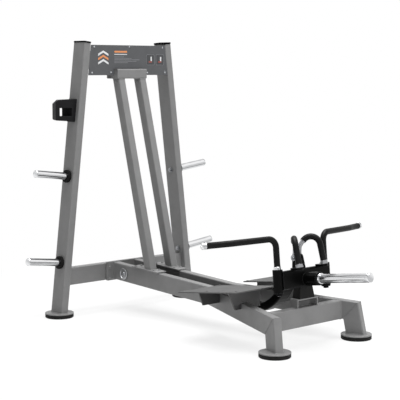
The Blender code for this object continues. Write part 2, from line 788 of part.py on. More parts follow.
def build_strut(word, side):
    along = Vector((0, math.sin(STRUT_LEAN), math.cos(STRUT_LEAN)))
    back = Vector((0, math.cos(STRUT_LEAN), -math.sin(STRUT_LEAN)))
    front_top = Vector((side * RAIL_MID_X, STRUT_FRONT_Y_AT_TOP, STRUT_TOP_LEVEL))
    origin = front_top + back * (STRUT_DEEP / 2)
    _, above = rail_axes()
    seat = rail_point(side, 0) + above * (TUBE_DEEP / 2 + CLEAR + BASE_PLATE_THICK + CLEAR)
    cuts = ((seat, above), (Vector((0, 0, HEAD_LOW - CLEAR)), Vector((0, 0, 1))))
    outlines = frame_tube_outlines(TUBE_WIDE, STRUT_DEEP)
    bm = straight_tube(outlines, origin, along, Vector((1, 0, 0)), back, *cuts)
    add_mesh(word + "_strut", bm, grey_powder_coat, SMOOTH_ANGLE)
    rail_along, _ = rail_axes()
    start = rail_point(side, BASE_PLATE_REAR_Y) + above * (TUBE_DEEP / 2 + CLEAR)
    length = (BASE_PLATE_REAR_Y - BASE_PLATE_FRONT_Y) / -rail_along.y
    corner = rounded_rectangle(2 * BASE_PLATE_HALF_WIDE, length, BASE_PLATE_ROUND)
    middle = start + rail_along * (length / 2)
    loops = [loop_in_frame(corner, middle + above * lift, Vector((1, 0, 0)), rail_along)
             for lift in (0, BASE_PLATE_THICK)]
    add_mesh(word + "_strut_base_plate", loft(loops), grey_powder_coat, SMOOTH_ANGLE)


def build_storage_peg(word, side, level_word, level):
    _, outward = upright_axes(side)
    face = upright_centre(side, level) + outward * (TUBE_WIDE / 2)
    inner = -TUBE_WIDE - CLEAR
    washer = inner - PEG_WASHER_THICK
    nut = washer - PEG_NUT_THICK
    name = word + "_" + level_word
    stud = nut - PEG_STUD_PAST_NUT
    profile = [(0, stud), (PEG_STUD_RADIUS, stud), (PEG_STUD_RADIUS, nut),
               (PEG_NUT_RADIUS, nut), (PEG_NUT_RADIUS, washer), (PEG_WASHER_RADIUS, washer),
               (PEG_WASHER_RADIUS, inner), (PEG_STUD_RADIUS, inner), (PEG_STUD_RADIUS, CLEAR),
               (PEG_RADIUS, CLEAR), (PEG_RADIUS, PEG_REACH - PEG_TIP_EDGE),
               (PEG_RADIUS - PEG_TIP_EDGE, PEG_REACH), (0, PEG_REACH)]
    add_mesh(name + "_storage_peg", turned(profile, TURN_STEPS, face, outward), chrome_plate, SMOOTH_ANGLE)
    hole = PEG_RADIUS + CLEAR
    rim = COLLAR_RADIUS - COLLAR_EDGE
    ring = [(hole, CLEAR), (rim, CLEAR), (COLLAR_RADIUS, CLEAR + COLLAR_EDGE),
            (COLLAR_RADIUS, COLLAR_THICK - COLLAR_EDGE), (rim, COLLAR_THICK), (hole, COLLAR_THICK)]
    add_mesh(name + "_peg_collar", turned_ring(ring, TURN_STEPS, face, outward), black_rubber, SMOOTH_ANGLE)


def build_accessory_holder():
    """Folded box with a window through it, on the outer face of the left upright."""
    side = -1.0
    along, outward = upright_axes(side)
    mid_z = (HOLDER_LOW + HOLDER_HIGH) / 2
    face = upright_centre(side, mid_z) + outward * (TUBE_WIDE / 2 + CLEAR)
    rear_y = HOLDER_FRONT_Y + HOLDER_DEEP
    loops = []
    for y, end in ((HOLDER_FRONT_Y, HOLDER_FRONT_END), (rear_y, HOLDER_REAR_END)):
        reach, low, high = end
        cut = HOLDER_CORNER
        outline = [(-TUBE_WIDE, HOLDER_LOW), (0, HOLDER_LOW), (reach - cut, low),
                   (reach, low + cut), (reach, high - cut), (reach - cut, high),
                   (reach - HOLDER_SHOULDER, HOLDER_HIGH - HOLDER_SHOULDER_DROP),
                   (0, HOLDER_HIGH), (-TUBE_WIDE, HOLDER_HIGH)]
        loops.append([Vector((face.x + side * a, y, b)) for a, b in outline])
    holder = add_mesh("accessory_holder", loft(loops), black_powder_coat)
    past = HOLDER_DEEP / 2
    slant = (HOLDER_REAR_END[0] - HOLDER_FRONT_END[0]) / HOLDER_DEEP
    loops = []
    for y in (HOLDER_FRONT_Y - past, rear_y + past):
        behind = y - HOLDER_FRONT_Y
        near = HOLDER_WINDOW_NEAR + HOLDER_WINDOW_NEAR_SLANT * behind
        far = HOLDER_FRONT_END[0] - HOLDER_WINDOW_WALL + slant * behind
        outline = [(near, HOLDER_WINDOW_LOW), (far, HOLDER_WINDOW_LOW),
                   (far, HOLDER_WINDOW_HIGH), (near, HOLDER_WINDOW_HIGH)]
        loops.append([Vector((face.x + side * a, y, b)) for a, b in outline])
    combine(holder, add_mesh("window", loft(loops), black_powder_coat), "DIFFERENCE")
    middle = face - outward * TUBE_DEEP
    middle.y = 0
    block = rounded_rectangle(2 * TUBE_DEEP, 4 * TUBE_DEEP, TUBE_ROUND)
    loops = [loop_in_frame(block, middle + Vector((0, y, 0)), outward, along)
             for y in (HOLDER_FRONT_Y - past, rear_y + past)]
    combine(holder, add_mesh("trim", loft(loops), black_powder_coat), "DIFFERENCE")
    return shade_round(holder, SMOOTH_ANGLE)


def pivot_point(x=0.0):
    return Vector((x, PIVOT_Y, PIVOT_Z))


def build_pivot():
    rail_outer = RAIL_MID_X + TUBE_WIDE / 2
    rail_inner = RAIL_MID_X - TUBE_WIDE / 2
    half = rail_outer + CLEAR
    neck = AXLE_RADIUS - AXLE_EDGE
    axle = [(0, -half), (neck, -half), (AXLE_RADIUS, -half + AXLE_EDGE),
            (AXLE_RADIUS, half - AXLE_EDGE), (neck, half), (0, half)]
    add_mesh("pivot_axle", turned(axle, SMALL_TURN_STEPS, pivot_point(), Vector((1, 0, 0))),
             bare_steel, SMOOTH_ANGLE)
    for word, side in SIDES:
        out = Vector((side, 0, 0))
        start = half + CLEAR
        front = start + PIVOT_CAP_THICK
        dish = front - PIVOT_CAP_DISH
        rim = PIVOT_CAP_RADIUS
        edge = PIVOT_CAP_EDGE
        cap = [(0, start), (rim - edge, start), (rim, start + edge), (rim, front - edge),
               (rim - edge, front), (rim - PIVOT_CAP_RIM, front),
               (rim - PIVOT_CAP_RIM - edge, dish), (PIVOT_CAP_HEAD_RADIUS + edge, dish),
               (PIVOT_CAP_HEAD_RADIUS, front), (0, front)]
        add_mesh(word + "_pivot_cap", turned(cap, TURN_STEPS, pivot_point(), out), bare_steel, SMOOTH_ANGLE)
        hub_end = rail_inner - CLEAR
        bore = AXLE_RADIUS + CLEAR
        bush = [(bore, hub_end), (BUSH_FLANGE_RADIUS, hub_end),
                (BUSH_FLANGE_RADIUS, hub_end - BUSH_FLANGE_THICK),
                (BUSH_RADIUS, hub_end - BUSH_FLANGE_THICK),
                (BUSH_RADIUS, hub_end - BUSH_LENGTH), (bore, hub_end - BUSH_LENGTH)]
        add_mesh(word + "_pivot_bush", turned_ring(bush, SMALL_TURN_STEPS, pivot_point(), out),
                 bronze, SMOOTH_ANGLE)


def arm_path():
    """Centre line of the arm in the plane X = 0: long run, rolled bend, neck to the beam."""
    centre = Vector((0, ARM_BEND_CENTRE_Y, ARM_BEND_CENTRE_Z))
    gap = centre - pivot_point()
    lift = math.atan2(gap.z, -gap.y)
    start_rise = lift - math.asin(ARM_BEND_RADIUS / gap.length)
    path = [pivot_point()]
    for step in range(ARM_BEND_STEPS + 1):
        rise = start_rise + (ARM_END_RISE - start_rise) * step / ARM_BEND_STEPS
        path.append(centre - ARM_BEND_RADIUS * Vector((0, math.sin(rise), math.cos(rise))))
    end = Vector((0, -math.cos(ARM_END_RISE), math.sin(ARM_END_RISE)))
    neck_start = path[-1] + end * ARM_RISE_RUN
    below = Vector((0, -math.sin(ARM_END_RISE), -math.cos(ARM_END_RISE)))
    neck_centre = neck_start + below * ARM_NECK_RADIUS
    for step in range(ARM_NECK_STEPS + 1):
        rise = ARM_END_RISE + (CARRIAGE_TIP - ARM_END_RISE) * step / ARM_NECK_STEPS
        path.append(neck_centre + ARM_NECK_RADIUS * Vector((0, math.sin(rise), math.cos(rise))))
    forward, _ = carriage_axes()
    beam_rear = carriage_point(0, BEAM_REAR - CLEAR, 0)
    path.append(path[-1] + forward * (beam_rear - path[-1]).dot(forward))
    return path


def carriage_axes():
    upward = Vector((0, math.sin(CARRIAGE_TIP), math.cos(CARRIAGE_TIP)))
    forward = Vector((0, -math.cos(CARRIAGE_TIP), math.sin(CARRIAGE_TIP)))
    return forward, upward


def carriage_point(x, forward_distance, height):
    forward, upward = carriage_axes()
    return Vector((x, CARRIAGE_Y, CARRIAGE_Z)) + forward * forward_distance + upward * height


def carriage_box(name, x_half, forward_range, up_range, radius, material):
    """Box in the tipped frame of the carriage, centred on X = 0."""
    forward, upward = carriage_axes()
    outline = rounded_rectangle(forward_range[1] - forward_range[0],
                                up_range[1] - up_range[0], radius)
    middle = carriage_point(0, sum(forward_range) / 2, sum(up_range) / 2)
    loops = [loop_in_frame(outline, middle + Vector((x, 0, 0)), forward, upward)
             for x in (-x_half, x_half)]
    return add_mesh(name, loft(loops), material)


def build_lever_arm():
    outlines = frame_tube_outlines(ARM_WIDE, ARM_DEEP, ARM_WALL, ARM_ROUND)
    sideways = Vector((1, 0, 0))
    path = arm_path()
    loops = []
    for outline in outlines:
        rows = []
        for i, point in enumerate(path):
            before = path[max(i - 1, 0)]
            after = path[min(i + 1, len(path) - 1)]
            tangent = (after - before).normalized()
            if i == 1:
                tangent = (point - before).normalized()
            if i == len(path) - 2:
                tangent = (after - point).normalized()
            rows.append(loop_in_frame(outline, point, sideways, tangent.cross(sideways)))
        loops.append(rows)
    arm = add_mesh("lever_arm", loft(*loops), black_powder_coat)
    hub_half = RAIL_MID_X - TUBE_WIDE / 2 - CLEAR - BUSH_FLANGE_THICK - CLEAR
    hub = turned([(0, -hub_half), (HUB_RADIUS, -hub_half), (HUB_RADIUS, hub_half), (0, hub_half)],
                 TURN_STEPS, pivot_point(), sideways)
    combine(arm, add_mesh("hub", hub, black_powder_coat), "UNION")
    bore = BUSH_RADIUS + CLEAR
    past = 2 * hub_half
    hole = turned([(0, -past), (bore, -past), (bore, past), (0, past)],
                  SMALL_TURN_STEPS, pivot_point(), sideways)
    combine(arm, add_mesh("bore", hole, black_powder_coat), "DIFFERENCE")
    return shade_round(arm, SMOOTH_ANGLE)


def build_sleeve(word, side):
    _, upward = carriage_axes()
    centre = carriage_point(side * SLEEVE_OUT, 0, 0)
    bore = SPIGOT_RADIUS + CLEAR
    high = SLEEVE_HALF_HIGH
    ring = [(bore, -high), (SLEEVE_RADIUS - SLEEVE_EDGE, -high), (SLEEVE_RADIUS, -high + SLEEVE_EDGE),
            (SLEEVE_RADIUS, high - SLEEVE_EDGE), (SLEEVE_RADIUS - SLEEVE_EDGE, high), (bore, high)]
    return add_mesh(word + "_handle_sleeve", turned_ring(ring, TURN_STEPS, centre, upward),
                    black_powder_coat, SMOOTH_ANGLE)


def sleeve_cutter(side):
    _, upward = carriage_axes()
    centre = carriage_point(side * SLEEVE_OUT, 0, 0)
    radius = SLEEVE_RADIUS + CLEAR
    past = 2 * SLEEVE_HALF_HIGH
    bm = turned([(0, -past), (radius, -past), (radius, past), (0, past)],
                TURN_STEPS, centre, upward)
    return add_mesh("cutter", bm, black_powder_coat)


def build_carriage_beam():
    """Cross tube between the sleeves, with two ears and the boss for the weight horn."""
    beam = carriage_box("carriage_beam", BEAM_HALF_WIDE, (BEAM_REAR, BEAM_FRONT),
                        (BEAM_LOW, BEAM_HIGH), BEAM_ROUND, black_powder_coat)
    for _, side in SIDES:
        combine(beam, sleeve_cutter(side), "DIFFERENCE")
        centre_x = side * INNER_FOOT_X
        outline = [(centre_x + side * EAR_HALF_WIDE, EAR_ROOT)]
        for step in range(EAR_STEPS + 1):
            turn = math.pi * step / EAR_STEPS
            outline.append((centre_x + side * EAR_HALF_WIDE * math.cos(turn),
                            INNER_FOOT_FORWARD + EAR_HALF_WIDE * math.sin(turn)))
        outline.append((centre_x - side * EAR_HALF_WIDE, EAR_ROOT))
        ear = extrude_outline(outline, EAR_THICK,
                              lambda a, b, h: carriage_point(a, b, BEAM_HIGH - EAR_SINK + h))
        combine(beam, add_mesh("ear", ear, black_powder_coat), "UNION")
    bore = HORN_TENON_RADIUS + CLEAR
    depth = BOSS_LENGTH - HORN_TENON_DEPTH - CLEAR
    profile = [(0, -BOSS_ROOT_DEPTH), (BOSS_RADIUS, -BOSS_ROOT_DEPTH),
               (BOSS_RADIUS, BOSS_LENGTH - BOSS_EDGE), (BOSS_RADIUS - BOSS_EDGE, BOSS_LENGTH),
               (bore, BOSS_LENGTH), (bore, depth), (0, depth)]
    boss = add_mesh("boss", turned(profile, TURN_STEPS, horn_root(), horn_axis()),
                    black_powder_coat)
    combine(beam, boss, "UNION")
    return shade_round(beam, SMOOTH_ANGLE)


def build_handle_lug():
    """Upright plate on the neck of the arm, hooked over the rear edge of the beam."""
    forward, upward = carriage_axes()
    neck = arm_path()[-1]
    seat = (neck - carriage_point(0, 0, 0)).dot(upward) + ARM_DEEP / 2 + CLEAR
    rear = (LUG_REAR_Y - CARRIAGE_Y) / forward.y
    beam_rear = BEAM_REAR - CLEAR
    beam_top = BEAM_HIGH + CLEAR
    corners = [carriage_point(0, rear, seat), carriage_point(0, beam_rear, seat),
               carriage_point(0, beam_rear, beam_top),
               carriage_point(0, LUG_FRONT_ON_BEAM, beam_top)]
    outline = [(corner.y, corner.z) for corner in corners]
    outline += [(LUG_FRONT_TOP_Y, LUG_TOP_Z), (LUG_REAR_Y, LUG_TOP_Z)]
    bm = extrude_outline(outline, 2 * LUG_HALF_THICK,
                         lambda a, b, h: Vector((h - LUG_HALF_THICK, a, b)))

    def top_corner(edge):
        first, second = edge.verts
        return abs(first.co.x - second.co.x) > LUG_HALF_THICK and first.co.z > LUG_TOP_Z - CLEAR
    bevel_edges(bm, LUG_ROUND, LUG_CORNER_STEPS, top_corner)
    return add_mesh("handle_lug", bm, black_powder_coat, SMOOTH_ANGLE)


def horn_root():
    return Vector((0, HORN_ROOT_Y, HORN_ROOT_Z))


def horn_axis():
    return Vector((0, -math.cos(HORN_RISE), math.sin(HORN_RISE)))


def build_weight_horn():
    face = BOSS_LENGTH + CLEAR
    horn = [(0, face - HORN_TENON_DEPTH), (HORN_TENON_RADIUS, face - HORN_TENON_DEPTH),
            (HORN_TENON_RADIUS, face), (HORN_RING_RADIUS, face),
            (HORN_RING_RADIUS, face + HORN_RING_LENGTH - HORN_RING_EDGE),
            (HORN_RING_RADIUS - HORN_RING_EDGE, face + HORN_RING_LENGTH),
            (HORN_RADIUS, face + HORN_RING_LENGTH), (HORN_RADIUS, HORN_REACH - HORN_TIP_EDGE),
            (HORN_RADIUS - HORN_TIP_EDGE, HORN_REACH), (0, HORN_REACH)]
    add_mesh("weight_horn", turned(horn, TURN_STEPS, horn_root(), horn_axis()), chrome_plate, SMOOTH_ANGLE)


def outer_handle_points(side):
    """Sleeve centre, riser axis, elbow corner, bend in the grip and outer tip."""
    forward, upward = carriage_axes()
    centre = carriage_point(side * SLEEVE_OUT, 0, 0)
    corner = centre + upward * RISER_HEIGHT
    first = Vector((side, 0, 0)) * math.cos(GRIP_SWEEP) - forward * math.sin(GRIP_SWEEP)
    last = Vector((side, 0, 0)) * math.cos(GRIP_END_SWEEP) - forward * math.sin(GRIP_END_SWEEP)
    bend = corner + first * GRIP_BEND_AT
    return centre, upward, corner, bend, bend + last * GRIP_END_REACH


def build_outer_handle(word, side):
    centre, upward, corner, bend, tip = outer_handle_points(side)
    sleeve_top = SLEEVE_HALF_HIGH + CLEAR
    collar_top = sleeve_top + BAR_COLLAR_THICK
    low = -SLEEVE_HALF_HIGH - CLEAR
    washer = low - LOCK_WASHER_THICK
    nut = washer - LOCK_NUT_THICK
    spindle = [(0, nut), (LOCK_NUT_RADIUS, nut), (LOCK_NUT_RADIUS, washer),
               (LOCK_WASHER_RADIUS, washer), (LOCK_WASHER_RADIUS, low), (SPIGOT_RADIUS, low),
               (SPIGOT_RADIUS, sleeve_top), (BAR_COLLAR_RADIUS, sleeve_top),
               (BAR_COLLAR_RADIUS, collar_top), (0, collar_top)]
    handle = add_mesh(word + "_handle_bar", turned(spindle, SMALL_TURN_STEPS, centre, upward),
                      chrome_plate)
    inward = (bend - tip).normalized()
    grip_end = tip + inward * BAR_END_LENGTH
    radii = (ELBOW_RADIUS, GRIP_BEND_RADIUS)
    start = centre + upward * (sleeve_top + BAR_OVERLAP)
    path = rounded_path([start, corner, bend, grip_end - inward * BAR_OVERLAP], radii, ELBOW_STEPS)
    bar = add_mesh("bar", round_sweep(path, BAR_RADIUS, SMALL_TURN_STEPS), chrome_plate)
    combine(handle, bar, "UNION")
    edge = BAR_END_RADIUS / 6
    knob = [(0, CLEAR), (BAR_END_RADIUS - edge, CLEAR), (BAR_END_RADIUS, CLEAR + edge),
            (BAR_END_RADIUS, BAR_END_LENGTH - 2 * edge), (BAR_END_RADIUS - edge, BAR_END_LENGTH - edge / 2),
            (BAR_END_RADIUS - 2 * edge, BAR_END_LENGTH), (0, BAR_END_LENGTH)]
    cap = add_mesh("knob", turned(knob, SMALL_TURN_STEPS, grip_end, -inward), chrome_plate)
    combine(handle, cap, "UNION")
    shade_round(handle, SMOOTH_ANGLE)
    grip_start = centre + upward * (collar_top + CLEAR)
    grip_path = rounded_path([grip_start, corner, bend, grip_end], radii, ELBOW_STEPS)
    grip = round_sweep(grip_path, GRIP_RADIUS, SMALL_TURN_STEPS, BAR_RADIUS + CLEAR)
    add_mesh(word + "_handle_grip", grip, black_rubber, SMOOTH_ANGLE)


def inner_handle_points(side):
    """Foot on the ear, peak corner of the arch, knee and end beside the lug."""
    _, upward = carriage_axes()
    ear_top = BEAM_HIGH - EAR_SINK + EAR_THICK + CLEAR
    foot = carriage_point(side * INNER_FOOT_X, INNER_FOOT_FORWARD, ear_top)
    end_out = LUG_HALF_THICK + CLEAR + INNER_BAR_RADIUS
    end = Vector((side * end_out, INNER_END_Y, INNER_END_Z))
    inward = Vector((end.x - foot.x, end.y - foot.y, 0)).normalized()
    peak = foot + inward * INNER_PEAK_ALONG + upward * INNER_PEAK_UP
    peak.x += side * INNER_PEAK_OUT
    knee = foot + inward * INNER_KNEE_ALONG + upward * INNER_KNEE_UP
    knee.x = end.x
    return foot, upward, [peak, knee, end]


def build_inner_handle(word, side):
    foot, upward, corners = inner_handle_points(side)
    collar_top = INNER_COLLAR_THICK
    edge = INNER_COLLAR_THICK / 10
    base = [(0, 0), (INNER_COLLAR_RADIUS, 0), (INNER_COLLAR_RADIUS, collar_top - edge),
            (INNER_COLLAR_RADIUS - edge, collar_top), (0, collar_top)]
    handle = add_mesh(word + "_inner_bar", turned(base, SMALL_TURN_STEPS, foot, upward),
                      chrome_plate)
    radii = (INNER_ARCH_RADIUS, INNER_KNEE_RADIUS)
    start = foot + upward * BAR_OVERLAP
    path = rounded_path([start] + corners, radii, INNER_STEPS)
    bar = add_mesh("bar", round_sweep(path, INNER_BAR_RADIUS, SMALL_TURN_STEPS), chrome_plate)
    combine(handle, bar, "UNION")
    shade_round(handle, SMOOTH_ANGLE)
    rising = (corners[0] - start).normalized()
    tilt = rising.angle(upward)
    lift = collar_top + CLEAR + GRIP_RADIUS * math.sin(tilt) - BAR_OVERLAP
    path[0] = start + rising * lift / math.cos(tilt)
    grip = round_sweep(path, GRIP_RADIUS, SMALL_TURN_STEPS, INNER_BAR_RADIUS + CLEAR,
                       INNER_GRIP_POINTS + 1)
    add_mesh(word + "_inner_grip", grip, black_rubber, SMOOTH_ANGLE)


def build_bumper():
    low = FRONT_BEAM_TOP_Z + CLEAR
    half = BRACKET_HALF_WIDE
    wall = BRACKET_WALL
    outline = [(-half, low), (-half, BRACKET_TOP_Z), (half, BRACKET_TOP_Z), (half, low),
               (half - wall, low), (half - wall, BRACKET_TOP_Z - wall),
               (-half + wall, BRACKET_TOP_Z - wall), (-half + wall, low)]
    bm = extrude_outline(outline, BRACKET_DEEP,
                         lambda a, b, h: Vector((a, FRONT_BEAM_FACE_Y + h, b)))
    add_mesh("bumper_bracket", bm, grey_powder_coat)
    foot = BRACKET_TOP_Z + CLEAR
    under_beam = carriage_point(0, 0, BEAM_LOW - CLEAR)
    rows = []
    for y, top_y in ((BUMPER_FRONT_Y, BUMPER_FRONT_Y + BUMPER_FRONT_TAPER), (BUMPER_REAR_Y, BUMPER_REAR_Y)):
        top = under_beam.z - (top_y - under_beam.y) * math.tan(CARRIAGE_TIP)
        rows.append([Vector((-BUMPER_HALF_FOOT, y, foot)), Vector((BUMPER_HALF_FOOT, y, foot)),
                     Vector((BUMPER_HALF_TOP, top_y, top)), Vector((-BUMPER_HALF_TOP, top_y, top))])
    bm = loft(rows)
    rubber_high = under_beam.z - foot

    def stands_up(edge):
        return abs((edge.verts[0].co - edge.verts[1].co).z) > rubber_high / 2
    bevel_edges(bm, BUMPER_EDGE, BUMPER_EDGE_STEPS, stands_up)
    return add_mesh("bumper", bm, black_rubber, SMOOTH_ANGLE)


def build_step_plate(word, side):
    """Standing plate, toe end higher, on two tapered gussets welded to the rail."""
    rise = math.atan2(STEP_FRONT_Z - STEP_REAR_Z, STEP_REAR_Y - STEP_FRONT_Y)
    toe = Vector((0, -math.cos(rise), math.sin(rise)))
    above = Vector((0, math.sin(rise), math.cos(rise)))
    rear = Vector((0, STEP_REAR_Y, STEP_REAR_Z))
    length = (STEP_REAR_Y - STEP_FRONT_Y) / math.cos(rise)
    outline = rounded_rectangle(STEP_OUTER_X - STEP_INNER_X, length, STEP_ROUND)
    middle = rear + toe * (length / 2) + Vector((side * (STEP_INNER_X + STEP_OUTER_X) / 2, 0, 0))
    loops = [loop_in_frame(outline, middle - above * drop, Vector((side, 0, 0)), toe)
             for drop in (0, STEP_THICK)]
    plate = add_mesh(word + "_step_plate", loft(loops), grey_powder_coat)
    for y, low, inner, top_out, foot_out in GUSSET_PLACES:
        under = STEP_REAR_Z + (STEP_REAR_Y - y) * math.tan(rise) - STEP_THICK / math.cos(rise)
        high = under + STEP_THICK / 2
        outline = [(inner, low), (foot_out, low), (top_out, high), (inner, high)]
        bm = extrude_outline(outline, GUSSET_THICK,
                             lambda a, b, h: Vector((side * a, y - GUSSET_THICK / 2 + h, b)))
        combine(plate, add_mesh("gusset", bm, grey_powder_coat), "UNION")
    rail = add_mesh("rail_room", loft(*rail_loops(side, CLEAR)), grey_powder_coat)
    combine(plate, rail, "DIFFERENCE")
    return shade_round(plate, SMOOTH_ANGLE)


def make_joint_empties():
    """Empties on the turning axes; the moving pieces hang on them."""
    machine = bpy.data.objects.new("machine_origin", None)
    bpy.context.scene.collection.objects.link(machine)
    arm_axis = bpy.data.objects.new("arm_axis", None)
    bpy.context.scene.collection.objects.link(arm_axis)
    arm_axis.location = pivot_point()
    arm_axis.parent = machine
    handle_axes = {}
    for word, side in SIDES:
        axis = bpy.data.objects.new(word + "_handle_axis", None)
        bpy.context.scene.collection.objects.link(axis)
        axis.parent = arm_axis
        axis.location = carriage_point(side * SLEEVE_OUT, 0, 0) - pivot_point()
        handle_axes[word] = axis
    return machine, arm_axis, handle_axes


ARM_PIECES = ("lever_arm", "pivot_bush", "handle_sleeve", "carriage_beam",
              "handle_lug", "weight_horn", "inner_bar", "inner_grip")
HANDLE_PIECES = ("handle_bar", "handle_grip")


def hang_pieces(machine, arm_axis, handle_axes):
    bpy.context.view_layer.update()
    for thing in list(bpy.context.scene.objects):
        if thing.type != "MESH":
            continue
        parent = machine
        if thing.name.endswith(ARM_PIECES):
            parent = arm_axis
        if thing.name.endswith(HANDLE_PIECES):
            parent = handle_axes[thing.name.split("_")[0]]
        anchor = parent.matrix_world.translation
        thing.data.transform(Matrix.Translation(-anchor))
        thing.parent = parent


def centre_machine(machine):
    """Moves the machine so that the origin lies under the middle of its outline."""
    rear = UPRIGHT_MID_Y + FOOT_RADIUS
    axis = horn_axis()
    tip = HORN_ROOT_Y + axis.y * HORN_REACH
    front = tip - (HORN_RADIUS - HORN_TIP_EDGE) * math.sin(HORN_RISE)
    brim = HORN_ROOT_Y + axis.y * (HORN_REACH - HORN_TIP_EDGE) - HORN_RADIUS * math.sin(HORN_RISE)
    machine.location = Vector((0, -(rear + min(front, brim)) / 2, 0))


def build():
    clear_scene()
    for word, side in SIDES:
        build_upright(word, side)
        build_upright_cap(word, side)
        build_rail(word, side)
        build_front_leg(word, side)
        build_strut(word, side)
        build_step_plate(word, side)
        build_sleeve(word, side)
        build_outer_handle(word, side)
        build_inner_handle(word, side)
        for level_word, level in PEG_LEVELS:
            build_storage_peg(word, side, level_word, level)
    for word, place in foot_places():
        build_foot(word, place)
    build_cross_tube("rear_crossbeam", REAR_BEAM_MID_Y, REAR_BEAM_MID_Z - TUBE_DEEP / 2)
    build_cross_tube("top_crossbeam", PANEL_THICK + CLEAR + TUBE_WIDE / 2, TOP_BEAM_LOW)
    build_front_crossbeam()
    build_rail_end_plate()
    build_panel()
    build_strut_head()
    build_accessory_holder()
    build_pivot()
    build_lever_arm()
    build_carriage_beam()
    build_handle_lug()
    build_weight_horn()
    build_bumper()
    machine, arm_axis, handle_axes = make_joint_empties()
    hang_pieces(machine, arm_axis, handle_axes)
    centre_machine(machine)
    bpy.context.view_layer.update()


build()
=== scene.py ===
"""A free-standing T-bar row machine: leaning uprights, low rail frame and a pivoting lever arm."""

import math

import bmesh
import bpy
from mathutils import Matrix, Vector
from mathutils.bvhtree import BVHTree
from mathutils.geometry import convex_hull_2d


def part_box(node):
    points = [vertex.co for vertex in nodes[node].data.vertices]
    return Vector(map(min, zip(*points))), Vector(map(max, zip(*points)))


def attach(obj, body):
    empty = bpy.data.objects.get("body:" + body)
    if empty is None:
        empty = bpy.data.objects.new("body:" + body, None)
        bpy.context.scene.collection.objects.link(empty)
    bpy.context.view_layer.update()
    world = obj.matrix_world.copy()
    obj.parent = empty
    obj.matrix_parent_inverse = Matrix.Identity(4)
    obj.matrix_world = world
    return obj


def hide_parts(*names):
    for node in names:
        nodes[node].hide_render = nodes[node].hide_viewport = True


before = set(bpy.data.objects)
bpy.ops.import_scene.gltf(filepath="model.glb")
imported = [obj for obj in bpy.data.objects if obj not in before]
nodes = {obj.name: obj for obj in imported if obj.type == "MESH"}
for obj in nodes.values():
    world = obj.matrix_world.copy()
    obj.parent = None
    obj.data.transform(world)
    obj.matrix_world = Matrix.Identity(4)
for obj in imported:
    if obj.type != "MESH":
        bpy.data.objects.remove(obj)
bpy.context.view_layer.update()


# Grey steel frame: rectangular tube and plate, welded, then powder coated in one satin mid-grey.
# The coat is a baked polyester film. It shows a faint orange-peel skin, soft broad highlights, a painted
# highlight that makes the rounded edges slightly paler, and a faint cloudiness over large faces.

GREY_COAT = {"colour": "#757575", "cloud": "#707070", "edge_highlight": "#8b8b8b", "roughness": 0.46, "shine": 0.4}
GREY_EDGE_RADIUS = 0.0035
COAT_IOR = 1.50
ORANGE_PEEL_SIZE = 0.0016
ORANGE_PEEL_DEPTH = 0.0004
CLOUD_SIZE = 0.090
# Cosines of the turn at a rounded edge where the painted edge highlight starts and where it is strongest.
EDGE_HIGHLIGHT_FROM = 0.995
EDGE_HIGHLIGHT_FULL_AT = 0.85
EDGE_HIGHLIGHT_SHARE = 0.75
GLOSS_DRIFT = 0.03
# Nearly all values of a noise pattern lie between these two.
NOISE_LOW = 0.3
NOISE_HIGH = 0.7


def linear(hex_colour):
    """Linear light values of an sRGB hex colour."""
    levels = [int(hex_colour[i:i + 2], 16) / 255 for i in (1, 3, 5)]
    return [v / 12.92 if v <= 0.04045 else ((v + 0.055) / 1.055) ** 2.4 for v in levels] + [1.0]


def add_node(owner, kind, inputs=None, settings=None):
    """One shader node of a material or world, with its constants, links and options."""
    node = owner.node_tree.nodes.new("ShaderNode" + kind)
    for option, value in (settings or {}).items():
        setattr(node, option, value)
    for socket, value in (inputs or {}).items():
        if isinstance(value, bpy.types.NodeSocket):
            owner.node_tree.links.new(value, node.inputs[socket])
        else:
            node.inputs[socket].default_value = value
    return node


def new_material(name):
    """Empty material, and the place on the piece in its own metres."""
    material = bpy.data.materials.new(name)
    material.use_nodes = True
    material.node_tree.nodes.clear()
    return material, add_node(material, "TexCoord").outputs["Object"]


